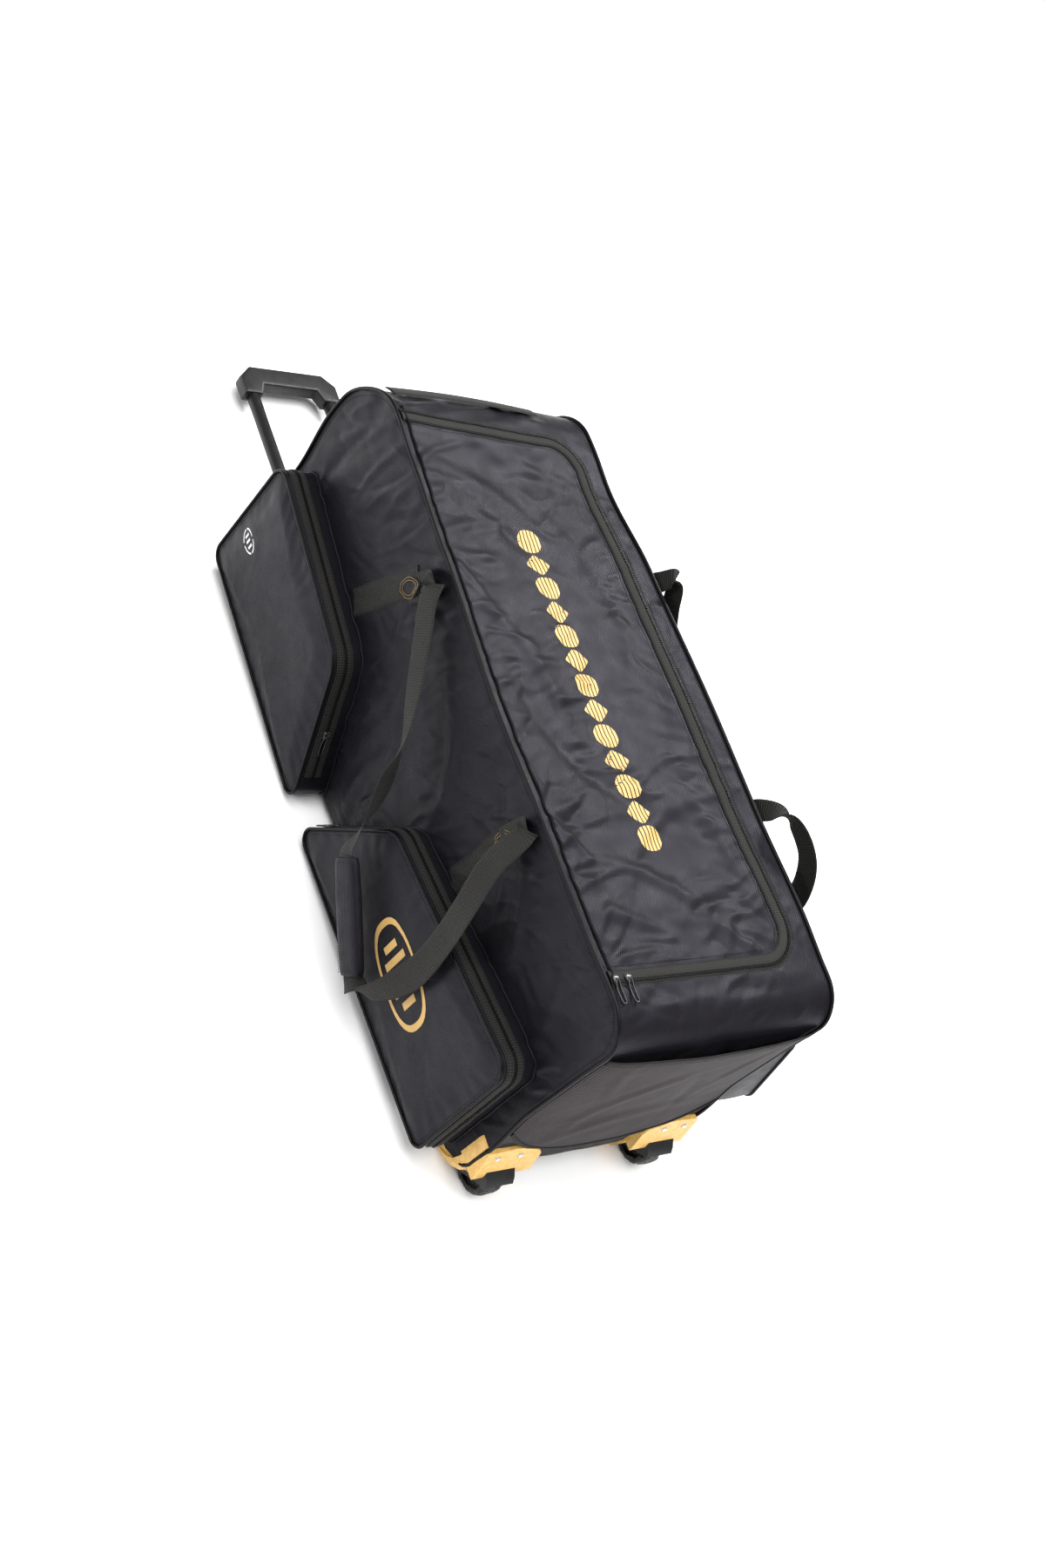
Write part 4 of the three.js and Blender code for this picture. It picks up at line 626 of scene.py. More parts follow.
def mesh_cloth(name):
    m, nt, b = material(name)
    ribs = wave(nt, coords(nt), period(4.4), "X", 0.7, 2)
    cells = wave(nt, coords(nt, turn=math.radians(33)), period(3.0), "Y", 0.4, 2)
    pat = math_node(nt, "MULTIPLY", ribs, math_node(nt, "ADD", math_node(nt, "MULTIPLY", cells, .6), .4))
    obj = coords(nt, uv=False)
    tone = noise_tex(nt, obj, 14, 4, .6)
    col = ramp(nt, pat, [(.1, (.0022, .0014, .0018)), (.75, (.0290, .0188, .0238))])
    worn = ramp(nt, tone, [(.3, (.75, .75, .75)), (.7, (1.2, 1.15, 1.18))])
    nt.links.new(mix(nt, "MULTIPLY", col, worn, value=.9), b.inputs["Base Color"])
    put(b, Roughness=.75, Specular_IOR_Level=.2, Sheen_Weight=.04)
    loose = bump(nt, noise_tex(nt, obj, 60, 4, .6), .25, .002)
    nt.links.new(bump(nt, pat, .8, .0006, loose), b.inputs["Normal"])
    return m


def solid(name, base, rough, metal=0.0, grain=0.15, grain_scale=700, wear=None, dents=0.0, shine=.5):
    """Plain finish with a fine grain, worn edges in the wear colour and, for rubber, dents."""
    m, nt, b = material(name)
    obj = coords(nt, uv=False)
    tone = noise_tex(nt, obj, 24, 5, .6)
    col = ramp(nt, tone, [(.3, tuple(c * .88 for c in base)), (.7, tuple(min(1, c * 1.1) for c in base))])
    if wear:
        geo = nt.nodes.new("ShaderNodeNewGeometry")
        edge = ramp(nt, geo.outputs["Pointiness"], grey(0, 1, .5, .56))
        spots = ramp(nt, noise_tex(nt, obj, 160, 5, .7), grey(0, 1, .45, .62))
        col = mix(nt, "MIX", col, wear, math_node(nt, "MULTIPLY", math_node(nt, "MULTIPLY", edge, spots), .7))
    nt.links.new(col, b.inputs["Base Color"])
    gloss = ramp(nt, noise_tex(nt, obj, 90, 4, .6), grey(rough * .85, min(1, rough * 1.2)))
    nt.links.new(gloss, b.inputs["Roughness"])
    put(b, Metallic=metal, Specular_IOR_Level=shine)
    n = bump(nt, noise_tex(nt, obj, grain_scale, 3, .6), grain, .0003)
    if dents:
        n = bump(nt, noise_tex(nt, obj, 110, 3, .5), dents, .006, n)
    nt.links.new(n, b.inputs["Normal"])
    return m


CLOTH = twill("twill_cloth", (.0040, .0036, .0049), (.0096, .0088, .0116), .42)
# The side panels get a lighter, slightly rougher copy of the twill: the lighter colour is painted light on
# the sides
CLOTH_SIDE_PAINTED_LIGHTER = twill("twill_cloth_side_painted_lighter", (.0043, .0039, .0051), (.0098, .0090, .0117), .45)
WEB = webbing("ribbed_webbing")
TAPE = tape_mat("zip_tape")
MESH = mesh_cloth("knitted_mesh")
VINYL = solid("piping_vinyl", (.0022, .0022, .0026), .36, grain=.1, shine=.12)
# Cord under the cloth, coloured darker than the twill: painted shade along the seam
SEAM_CORD_PAINTED_SHADE = solid("seam_cord_painted_shade", (.0024, .0022, .0028), .6, grain=.3, shine=.08)
BASE = solid("base_cloth", (.0036, .0034, .0036), .6, grain=.4, grain_scale=900, shine=.15)
COIL = solid("zip_coil", (.005, .005, .005), .42, grain=.1, shine=.12)
THREAD = solid("black_thread", (.004, .0038, .0042), .6, grain=.3, shine=.15)
GOLD_THREAD = solid("gold_thread", (.38, .235, .055), .5, grain=.3)
GOLD_PRINT = solid("gold_print", (.50, .315, .105), .46, grain=.35, grain_scale=1400, shine=.25)
WHITE_PRINT = solid("white_print", (.62, .62, .63), .55, grain=.3, grain_scale=1400)
GOLD_PLASTIC = solid("gold_plastic", (.60, .345, .07), .36, grain=.12, wear=(.72, .48, .18), shine=.4)
STEEL = solid("rivet_steel", (.62, .62, .61), .3, metal=1, grain=.2)
BLACK_METAL = solid("pull_metal", (.008, .008, .009), .24, metal=.2, grain=.1, wear=(.12, .12, .13))
BLACK_PLASTIC = solid("handle_plastic", (.006, .006, .0063), .42, grain=.35, grain_scale=1600, shine=.32)
TUBE_METAL = solid("tube_paint", (.004, .004, .0043), .34, grain=.08, shine=.32)
RUBBER = solid("wheel_rubber", (.004, .004, .0042), .4, grain=.3, grain_scale=500, dents=1.0, shine=.3)

# Body: one skin over the base, ends and top, then the two side panels

RING_POINTS = 700
BAND_COLUMNS = 107
PANEL_COLUMNS = 350
PANEL_ROWS = 166
ring, ring_s = outline(RING_POINTS)
ys = np.linspace(-1, 1, BAND_COLUMNS)
ys = HW * (1.14 * ys - .14 * ys ** 3)
X, Y = ring[:, 0][:, None] + 0 * ys[None], ys[None] + 0 * ring[:, 0][:, None]
Hh = ring[:, 1][:, None] + 0 * ys[None]
P = body_point(X.ravel(), Hh.ravel(), Y.ravel())
G = P.reshape(len(ring), len(ys), 3)
wrapped = np.vstack([G[-1:], G, G[:1]])
N = unit(np.cross(np.gradient(wrapped, axis=1), np.gradient(wrapped, axis=0)))[1:-1]
centre = np.array([0, 0, H / 2])
if ((G - centre) * N).sum(-1).mean() < 0:
    N = -N
on_top = smooth((Hh.ravel() - H * .93) / (H * .07))
end_face = smooth((np.abs(X.ravel()) - (HL - 30)) / 30)
base_face = smooth((20 - Hh.ravel()) / 20)
fade_y = smooth((HW - np.abs(Y.ravel())) / 14)
end_form = cloth_noise(P, 1.1, 120)
END_FOLDS = [(-60, 330, 70, 70, 16, 2.6), (50, 300, 110, 80, 16, -2.6), (110, 250, 80, 70, 14, 2.2),
             (0, 200, 10, 120, 18, 2.2), (-110, 240, 95, 80, 14, 2.2)]
end_crumple = end_form * .9 + folds(P[:, 1], P[:, 2], END_FOLDS)
D = on_top * top_crumple(P) + (1 - on_top) * end_face * fade_y * end_crumple * (1 - base_face)
V = P + N.reshape(-1, 3) * D[:, None]
V[:, 2] = np.maximum(V[:, 2], 0.0)
d_lid = lid_distance(X.ravel(), Y.ravel())
V[:, 2] -= on_top * LID_GROOVE * np.exp(-(d_lid / LID_GROOVE_HALF) ** 8)
F = grid_faces(len(ring), len(ys))
c = np.arange(len(ys) - 1)
last = (len(ring) - 1) * len(ys)
F = np.vstack([F, np.stack([last + c, last + c + 1, c + 1, c], 1)])
uv = np.stack([np.repeat(ring_s, len(ys)), np.tile(ys, len(ring))], 1)
face_x, face_h = X.ravel()[F[:, 0]], Hh.ravel()[F[:, 0]]
is_base = (face_h < 3) | ((face_x > HL - 60) & (face_h < H * .3))
body_band = build("body_band", V, F[:, ::-1].tolist(), [CLOTH, BASE], uv=uv, face_mats=is_base.astype(int))

t = np.linspace(0, 1, PANEL_COLUMNS)
hs = H * (0.5 - 0.5 * np.cos(np.pi * np.linspace(0, 1, PANEL_ROWS)))


def corner(d, r):
    """How far an outline's rounded corner of radius r lies in, at distance d from its edge."""
    return np.where(d < r, r - np.sqrt(np.maximum(0, r ** 2 - (r - d) ** 2)), 0)


def left_edge(h):
    return -HL + corner(h, R_BH) + corner(H - h, R_TH)


def right_edge(h):
    return HL - corner(h, R_BW) - corner(H - h, R_TW)


for sign, name in ((-1, "side_panel_near"), (1, "side_panel_far")):
    hh = hs[:, None] + 0 * t[None]
    xx = left_edge(hh) + (right_edge(hh) - left_edge(hh)) * t[None]
    x, h = xx.ravel(), hh.ravel()
    P = body_point(x, h, np.full_like(x, sign * HW))
    out = side_swell(x, h) + side_crumple(x, h, sign)
    P[:, 1] += sign * out
    F = grid_faces(len(hs), len(t), flip=(sign > 0))
    build(name, P, F.tolist(), [CLOTH_SIDE_PAINTED_LIGHTER], uv=np.stack([x, h], 1))
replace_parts(body_band, "body_shell", "lid")

# Piping down both side panels, over the seam between panel and top, with its stitched flange
open_ring = np.roll(ring, -int(np.argmin(np.hypot(ring[:, 0] - HL * .55, ring[:, 1]))), axis=0)
for sign, name in ((-1, "near"), (1, "far")):
    pts = body_point(open_ring[:, 0], open_ring[:, 1], np.full(len(open_ring), sign * HW))
    flat = np.roll(pts, -1, 0) - np.roll(pts, 1, 0)
    out = unit(np.stack([flat[:, 2], 0 * flat[:, 0], -flat[:, 0]], 1))
    if ((pts - centre) * out).sum(1).mean() < 0:
        out = -out
    keep = open_ring[:, 1] > 26
    path = (pts + (out + np.array([0, sign, 0])) * PIPING_OUT)[keep]
    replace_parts(tube("piping_" + name + "_cord", path, PIPING_R, [VINYL]), "piping_" + name)
    top = keep & (open_ring[:, 1] > H * .5)
    x, h = open_ring[top, 0], open_ring[top, 1]
    hh = H / 2 + (h - H / 2) * (1 - SEAM_INSET / SEAM_HALF)
    xx = x * (1 - SEAM_INSET / HL)
    q = body_point(xx, hh, np.full_like(xx, sign * HW))
    q[:, 1] += sign * (side_swell(xx, hh) + side_crumple(xx, hh, sign) + .1)
    stitches("seam_stitches_%s_0" % name, q, (0, sign, 0), [THREAD])

# Second seam of the near edge: a low cord under cloth with stitches on both sides of it. The cord is coloured
# darker than the cloth as painted shade along the seam
xs_seam = np.linspace(-HL + R_TH + 4, HL - R_TW - 2, 420)
seam = top_point(xs_seam, np.full_like(xs_seam, -HW + EDGE_SEAM), .5)
tube("near_edge_cord", seam, 2.1, [SEAM_CORD_PAINTED_SHADE], sides=10)
for k, away in enumerate(EDGE_SEAM_ROWS):
    row = top_point(xs_seam, np.full_like(xs_seam, -HW + away), .2)
    stitches("near_edge_stitches_%d" % k, row, (0, 0, 1), [THREAD])

# Lid zip: a stitched flap on the lid's side, the coil beside it and the outer tape


def lid_path(offset, step=4.0):
    """Plan path of the lid's zip, offset outwards, from the near edge round the far side and back."""
    r = LID_R + offset
    x0, x1, y1 = LID_X0 - offset, LID_X1 + offset, LID_Y + offset
    pts = [(x0, -HW + 5), (x0, y1 - r)]
    pts += [(x0 + r - r * math.cos(a), y1 - r + r * math.sin(a)) for a in np.linspace(0, math.pi / 2, 16)[1:]]
    pts += [(x1 - r + r * math.sin(a), y1 - r + r * math.cos(a)) for a in np.linspace(0, math.pi / 2, 16)]
    pts += [(x1, -HW + 5)]
    q, s = resample(np.array(pts, float), step)
    return q, s


def left_of(q):
    """Unit directions to the left of a plan path."""
    tan = unit(np.gradient(q, axis=0))
    return np.stack([-tan[:, 1], tan[:, 0]], 1)


def strip_on_top(offset, width, lift, crown):
    """Ribbon laid on the top along the lid's edge, as a grid of points, lengths and shares across."""
    u = np.linspace(-.5, .5, 7)
    base, s = lid_path(offset)
    nor = left_of(base)
    rows = []
    for k in u:
        q = base + nor * k * width
        p = top_point(q[:, 0], q[:, 1])
        p[:, 2] += lift + crown * (1 - (2 * k) ** 2) - (1.1 if abs(k) > .49 else 0)
        rows.append(p)
    return np.stack(rows, 1), s, u


verts, faces, uvs, kinds = [], [], [], []
for offset, width, lift, crown, kind in ((-2.0, 14.0, 1.4, .5, 0), (8.2, 6.4, .6, .1, 1)):
    Gd, s, u = strip_on_top(offset, width, lift, crown)
    start = sum(len(v) for v in verts)
    verts.append(Gd.reshape(-1, 3))
    f = grid_faces(Gd.shape[0], Gd.shape[1], start=start, flip=True)
    faces += f.tolist()
    kinds += [kind] * len(f)
    uvs.append(np.stack([np.repeat(s, len(u)), np.tile(u * width, len(s))], 1))
band = build("lid_zip_band", np.vstack(verts), faces, [WEB, TAPE], uv=np.vstack(uvs), face_mats=kinds)
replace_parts(band, "lid_zip")
base, s = lid_path(6.2)
p = top_point(base[:, 0], base[:, 1], .5)
up = np.tile([0, 0, 1.0], (len(p), 1))
tv, tf = teeth(p, up, np.hstack([left_of(base), np.zeros((len(p), 1))]), width=4.6)
build("lid_zip_coil", tv, tf, [COIL], smooth_shade=False)
for k, (offset, lift) in enumerate(((-7.4, 1.6), (-14.0, .15), (12.6, .15))):
    q, _ = lid_path(offset)
    stitches("lid_stitches_%d" % k, top_point(q[:, 0], q[:, 1], lift), (0, 0, 1), [THREAD])

# Pockets

# Corners: along and up as shares of the half length and height, and radius as a share of the height
POCKETS = {
    "near_handle_pocket": dict(sign=-1, depth=50, sag=0, zip=True, c=[
        (-.979, .06, .043), (-.129, .022, .039), (-.3375, .494, .108), (-.954, .573, .053)]),
    "near_wheel_pocket": dict(sign=-1, depth=50, sag=0, zip=True, c=[
        (-.05, .022, .039), (.929, .085, .043), (.923, .622, .06), (.192, .499, .084)]),
    "far_pocket": dict(sign=1, depth=60, sag=28, zip=False, c=[
        (-.9, .32, .07), (1.0, .27, .08), (.975, .735, .06), (-.9, .735, .06)]),
}
POCKET_POINTS = 380
GUSSET_ROWS = 20
FRONT_ROWS = 52
GUSSET_PUFF = 1.6
GUSSET_ROOT = -2.0
RIM_CORD_R = 2.1
RIM_CORD_OUT = .9
RIM_STITCH_INSET = 6.5
FLANGE_OUT = 2.2
FLANGE_LIFT = 1.2
FLANGE_R = 1.5
ZIP_LIFT = .55
FRONT_BULGE = 5.0
BULGE_REACH = 46.0


def pocket_loop(corners, n):
    """Rounded outline of a pocket: n points, their outward directions and distances along it."""
    pts = []
    m = len(corners)
    C = [np.array([a * HL, b * H]) for a, b, _ in corners]
    for i in range(m):
        r = corners[i][2] * H
        here, before, after = C[i], C[i - 1], C[(i + 1) % m]
        back, ahead = unit(before - here), unit(after - here)
        half = math.acos(np.clip(back @ ahead, -1, 1)) / 2
        mid = unit(back + ahead)
        cen = here + mid * r / math.sin(half)
        a0 = here + back * r / math.tan(half) - cen
        sweep = math.pi - 2 * half
        for s in np.linspace(0, sweep, 18):
            c, sn = math.cos(s), math.sin(s)
            pts.append(cen + np.array([a0[0] * c - a0[1] * sn, a0[0] * sn + a0[1] * c]))
    p = np.array(pts + pts[:1])
    d = np.r_[0, np.cumsum(np.hypot(*np.diff(p, axis=0).T))]
    s = np.linspace(0, d[-1], n + 1)[:-1]
    q = np.stack([np.interp(s, d, p[:, 0]), np.interp(s, d, p[:, 1])], 1)
    tan = unit(np.roll(q, -1, 0) - np.roll(q, 1, 0))
    out = np.stack([tan[:, 1], -tan[:, 0]], 1)
    if ((q - q.mean(0)) * out).sum(1).mean() < 0:
        out = -out
    return q, out, s


def pocket_seed(pk):
    """Seed of a pocket's creases."""
    return 200 + int(abs(pk["c"][0][0]) * 100)


def hang(q, z):
    """Share of a pocket's sag at height z: 1 at its foot and -1 at its top."""
    low, high = q[:, 1].min(), q[:, 1].max()
    return 1 - 2 * (z - low) / (high - low)


def gusset_depth(pk, g):
    """Distance from the plain side at share g of a gusset."""
    return GUSSET_ROOT + (pk["depth"] - GUSSET_ROOT) * g


def gusset_row(pk, q, out, s, g, lift=0.0, waved=True):
    """Ring of a pocket's gusset at share g of its depth, lifted off it."""
    y = gusset_depth(pk, g)
    away = np.full(len(q), GUSSET_PUFF * math.sin(math.pi * g) + lift)
    if waved:
        seed = pocket_seed(pk)
        at = np.stack([s / 26, np.full_like(s, y / 30), np.full_like(s, seed)], 1)
        away += .9 * noise(at, seed) * math.sin(math.pi * g)
    return upright(q + out * away[:, None], pk["sign"] * (HW + y))


def front_form(pk, q, x, z, d_edge):
    """Outward distance of a pocket's front from the plain side, at d_edge from its rim."""
    at = np.stack([x, np.full_like(x, 500.0 * pk["sign"]), z], 1)
    crumple = cloth_noise(at, .9, pocket_seed(pk)) * smooth(d_edge / 22)
    return pk["depth"] + FRONT_BULGE * smooth(d_edge / BULGE_REACH) + hang(q, z) * pk["sag"] + crumple


def pocket_surface(pk):
    """Rings of a pocket from its seam on the body to the middle of its front."""
    q, out, s = pocket_loop(pk["c"], POCKET_POINTS)
    mid = q.mean(0)
    sign = pk["sign"]
    rings, vv = [], []
    for g in np.linspace(0, 1, GUSSET_ROWS):
        row = gusset_row(pk, q, out, s, g)
        row[:, 1] += sign * hang(q, q[:, 1]) * pk["sag"] * g
        rings.append(row)
        vv.append(gusset_depth(pk, g))
    for k in np.linspace(0, 1, FRONT_ROWS)[1:]:
        inward = q * (1 - k) + mid * k
        d_edge = k * np.hypot(*(q - mid).T)
        y = front_form(pk, q, inward[:, 0], inward[:, 1], d_edge)
        phase = s / 5.0 + 4 * noise(upright(inward, 500.0 * sign) / 50, pocket_seed(pk) + 9)
        ripple = .55 * np.exp(-d_edge / 16) * (d_edge / 6) * np.sin(phase) * np.exp(-d_edge / 30)
        rings.append(upright(inward, sign * (HW + y + ripple)))
        vv.append(pk["depth"] + d_edge.mean())
    return np.stack(rings), q, out, s, np.array(vv)


def pocket_front(pk, x, z):
    """Outward distance of a pocket's front at x, z, from the plain side."""
    q, _, _ = pocket_loop(pk["c"], POCKET_POINTS)
    mid = q.mean(0)
    x, z = pair(x, z)
    around = np.arctan2(q[:, 1] - mid[1], q[:, 0] - mid[0])
    order = np.argsort(around)
    rim = np.hypot(*(q - mid).T)
    reach = np.interp(np.arctan2(z - mid[1], x - mid[0]), around[order], rim[order], period=2 * np.pi)
    return front_form(pk, q, x, z, np.maximum(0, reach - np.hypot(x - mid[0], z - mid[1])))


def pocket_zip(name, pk, q, out, s):
    """Two stitched flaps, the coil between them and the tape under it, on a pocket's gusset."""
    on = q[:, 1] > q[:, 1].min() + .09 * H
    idx = (np.arange(len(q)) + int(np.argmax(~on))) % len(q)
    run = idx[on[idx]]
    q, out, s = q[run], out[run], s[run]
    verts, faces, uvs, kinds = [], [], [], []
    rows = 6
    for lo, hi, lift, kind in ((.40, .60, 1.2, 0), (.68, .88, 1.2, 0), (.58, .70, .7, 1)):
        shares = np.linspace(lo, hi, rows)
        start = sum(len(v) for v in verts)
        for j, g in enumerate(shares):
            tucked = .9 if j in (0, rows - 1) and kind == 0 else 0
            verts.append(gusset_row(pk, q, out, s, g, lift - tucked + ZIP_LIFT))
        f = grid_faces(rows, len(q), start=start)
        faces += f.tolist()
        kinds += [kind] * len(f)
        uvs.append(np.stack([np.tile(run_length(q), rows), np.repeat(shares * pk["depth"], len(q))], 1))
    band = build(name + "_zip_band", np.vstack(verts), faces, [WEB, TAPE], uv=np.vstack(uvs), face_mats=kinds)
    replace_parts(band, name + "_zip")
    coil = gusset_row(pk, q, out, s, .64, 1.4, False)
    tv, tf = teeth(coil, upright(out), np.tile([0, 1.0, 0], (len(q), 1)), width=4.4)
    build(name + "_zip_coil", tv, tf, [COIL], smooth_shade=False)
    for k, g in enumerate((.43, .855)):
        row = gusset_row(pk, q, out, s, g, 1.8, False)
        stitches(name + "_zip_stitches_%d" % k, row, upright(out), [THREAD])


for name, pk in POCKETS.items():
    Gp, q, out, s, vv = pocket_surface(pk)
    Rn, Cn = Gp.shape[:2]
    sign = pk["sign"]
    V = Gp.reshape(-1, 3)
    V[:, 2] = np.maximum(V[:, 2], 1.0)
    uv = V[:, [0, 2]].copy()
    uv[: GUSSET_ROWS * Cn] = np.stack([np.tile(s, GUSSET_ROWS), np.repeat(vv[:GUSSET_ROWS], Cn)], 1)
    F = grid_faces(Rn, Cn, closed=True, flip=(sign > 0))
    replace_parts(build(name + "_cloth", V, F.tolist(), [CLOTH], uv=uv), name)
    rim = pk["depth"] + hang(q, q[:, 1]) * pk["sag"] + RIM_CORD_OUT
    lip = upright(q + out * RIM_CORD_OUT, sign * (HW + rim))
    lip[:, 2] = np.maximum(lip[:, 2], 2.4)
    cord = tube(name + "_piping_cord", lip, RIM_CORD_R, [VINYL], closed=True)
    if pk["zip"]:
        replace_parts(cord, name + "_piping")
    inner = upright(q - out * RIM_STITCH_INSET)
    inner[:, 1] = sign * (HW + pocket_front(pk, inner[:, 0], inner[:, 2]) + .1)
    stitches(name + "_edge_stitches", inner, (0, sign, 0), [THREAD], closed=True)
    flange, _ = resample(q + out * FLANGE_OUT, 4.0, True)
    seam = on_side(flange, sign, FLANGE_LIFT)
    clear = seam[:, 2] > 3
    if not clear.all():
        seam = np.roll(seam, -int(np.argmax(~clear)), 0)
        seam = seam[seam[:, 2] > 3]
    tube(name + "_seam_cord", seam, FLANGE_R, [CLOTH_SIDE_PAINTED_LIGHTER], closed=bool(clear.all()), sides=8)
    if pk["zip"]:
        pocket_zip(name, pk, q, out, s)

# Mesh pocket with a bound hem on the wheel end
MESH_OUT = 2.6
MESH_SLACK = 14.0
MESH_THICKNESS = .9
MESH_INSET = 3.0


def mesh_low(u):
    """Foot of the mesh at share u across the end."""
    return H * (.193 + .18 * np.abs(u) ** 2.5)


def mesh_high(u):
    """Hem of the mesh at share u across the end."""
    return H * (.895 + .032 * (1 - u * u) + .01 * u)


def mesh_front(u, v, z):
    """How far out the mesh stands at share u across, share v up and height z."""
    curve = BULGE_W * (1 - u * u) + column(ENDS, 2, z / H) * H + MESH_OUT
    return HL + curve + MESH_SLACK * (1 - u * u) ** .7 * np.sin(np.pi / 2 * v) ** 1.3


reach = HW - MESH_INSET
MESH_COLUMNS = 112
MESH_ROWS = 100
MESH_FOLDS = [(-60, 250, 60, 90, 16, 2.4), (40, 270, 118, 90, 15, -2.2), (0, 180, 15, 110, 18, 2.0),
              (90, 300, 70, 60, 12, 2.2), (-110, 300, 110, 60, 12, 1.8)]
U, Vv = np.meshgrid(np.linspace(-1, 1, MESH_COLUMNS), np.linspace(0, 1, MESH_ROWS))
u, v = U.ravel(), Vv.ravel()
z = mesh_low(u) + (mesh_high(u) - mesh_low(u)) * v
p = np.stack([mesh_front(u, v, z), u * reach, z], 1)
slack = folds(p[:, 1], z, MESH_FOLDS) + .8 * cloth_noise(p, 1.0, 300)
p[:, 0] += slack * smooth((1 - np.abs(u)) / .12) * smooth(v / .1)
F = grid_faces(MESH_ROWS, MESH_COLUMNS).tolist()
mesh_ob = build("mesh_pocket_cloth", p, F, [MESH], uv=p[:, 1:])
mod = mesh_ob.modifiers.new("cloth_thickness", "SOLIDIFY")
mod.thickness = MESH_THICKNESS / 1000
mod.offset = 0
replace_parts(mesh_ob, "mesh_pocket")


def end_tape(name, row, shift, width, thickness):
    """Tape across the wheel end along a row of the mesh."""
    up, out = np.tile([0.0, 0, 1], (len(row), 1)), np.tile([1.0, 0, 0], (len(row), 1))
    verts, faces, uv = band_mesh(row + np.array(shift), up, out, width, thickness, cols=7)
    return build(name, verts, faces, [TAPE], uv=uv)


rows = p.reshape(MESH_ROWS, MESH_COLUMNS, 3)
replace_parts(end_tape("mesh_hem_binding", rows[-1], (.4, 0, -3.5), 10, 2.6), "mesh_hem")
end_tape("mesh_foot_binding", rows[2], (1.2, 0, 0), 7, 1.6)
stitches("mesh_hem_stitches", rows[-1] + np.array([1.8, 0, -7.2]), (1, 0, 0), [THREAD])

# Carry straps

# Rows of each strap: along, outward, up, lean and turn of its width in degrees
NEAR = [(-183, 3.6, 338, -25, 0), (-168, 3.6, 368, -25, 0), (-156, 9, 391, -14, 0), (-148, 14, 398, 10, 0),
        (-135, 18, 383, 42, 0), (-95, 24, 353, 52, 0), (-43, 33, 315, 54, 5), (5, 43, 277, 52, 28),
        (27, 50, 242, 44, 66), (51, 59, 206, 42, 66), (72, 70, 165, 50, 30), (86, 78, 138, 61, 0),
        (153, 78, 100.5, 61, 0), (221, 78, 62.5, 61, 0), (244, 81, 72, 40, -28), (261, 78, 108, 12, -40),
        (271, 70, 164, -4, -14), (270, 66, 200, 2, 0), (260, 60, 245, 10, 0), (247, 58, 295, 20, 0),
        (214, 34, 346, 24, 0), (204, 15, 390, 14, 0), (198, 9, 394, 6, 0), (192, 3.6, 370, -4, 0),
        (186, 3.6, 340, -6, 0)]
FAR = [(-187, 3.6, 328, 4, 0), (-175, 4.5, 366, 2, 0), (-161, 13, 412, 0, 0), (-150, 21, 436, 10, 0),
       (-134, 32, 400, 28, 0), (-106, 46, 350, 40, 0), (-67, 62, 295, 48, 0), (-26, 78, 232, 58, 0),
       (-4, 86, 190, 90, 0), (79, 86, 190, 90, 0), (164, 86, 190, 90, 0), (206, 80, 226, 116, 0),
       (264, 70, 278, 132, 0), (298, 62, 332, 150, 0), (302, 50, 390, 172, 0), (274, 38, 436, 205, 0),
       (228, 25, 446, 222, 0), (197, 13, 416, 200, 0), (186, 4.5, 366, 184, 0), (183, 3.6, 328, 180, 0)]
STRAP_WIDTH = 38.0
STRAP_THICKNESS = 1.7
# A strap row nearer to the side than this is sewn down, this far off the cloth
SEWN_BELOW = 6.0
SEWN_LIFT = 3.2
SIDE_TOP = 396.0
GRIP_LENGTH = 148.0
GRIP_HALF_WIDTH = 23.0
GRIP_HALF_DEPTH = 8.0
GRIP_INNER_WIDTH = 20.7
GRIP_INNER_DEPTH = 4.6
GRIP_ROW = 17.5


def centripetal(P, per=14):
    """Centripetal curve through points, with the row number at each sample."""
    P = np.asarray(P, float)
    ext = np.vstack([2 * P[0] - P[1], P, 2 * P[-1] - P[-2]])
    out, rows = [], []
    for i in range(1, len(ext) - 2):
        p0, p1, p2, p3 = ext[i - 1:i + 3]
        t0 = 0
        t1 = t0 + max(1e-4, np.linalg.norm(p1 - p0) ** .5)
        t2 = t1 + max(1e-4, np.linalg.norm(p2 - p1) ** .5)
        t3 = t2 + max(1e-4, np.linalg.norm(p3 - p2) ** .5)
        for k in range(per):
            t_ = t1 + (t2 - t1) * k / per
            a1 = (t1 - t_) / (t1 - t0) * p0 + (t_ - t0) / (t1 - t0) * p1
            a2 = (t2 - t_) / (t2 - t1) * p1 + (t_ - t1) / (t2 - t1) * p2
            a3 = (t3 - t_) / (t3 - t2) * p2 + (t_ - t2) / (t3 - t2) * p3
            b1 = (t2 - t_) / (t2 - t0) * a1 + (t_ - t0) / (t2 - t0) * a2
            b2 = (t3 - t_) / (t3 - t1) * a2 + (t_ - t1) / (t3 - t1) * a3
            out.append((t2 - t_) / (t2 - t1) * b1 + (t_ - t1) / (t2 - t1) * b2)
            rows.append(i - 1 + k / per)
    out.append(P[-1])
    rows.append(len(P) - 1)
    return np.array(out), np.array(rows)


def soften(w):
    """Smooths a run of angles along a strap."""
    k = np.hanning(25)[1:-1]
    return np.convolve(np.pad(w, 11, mode="edge"), k / k.sum(), "valid")


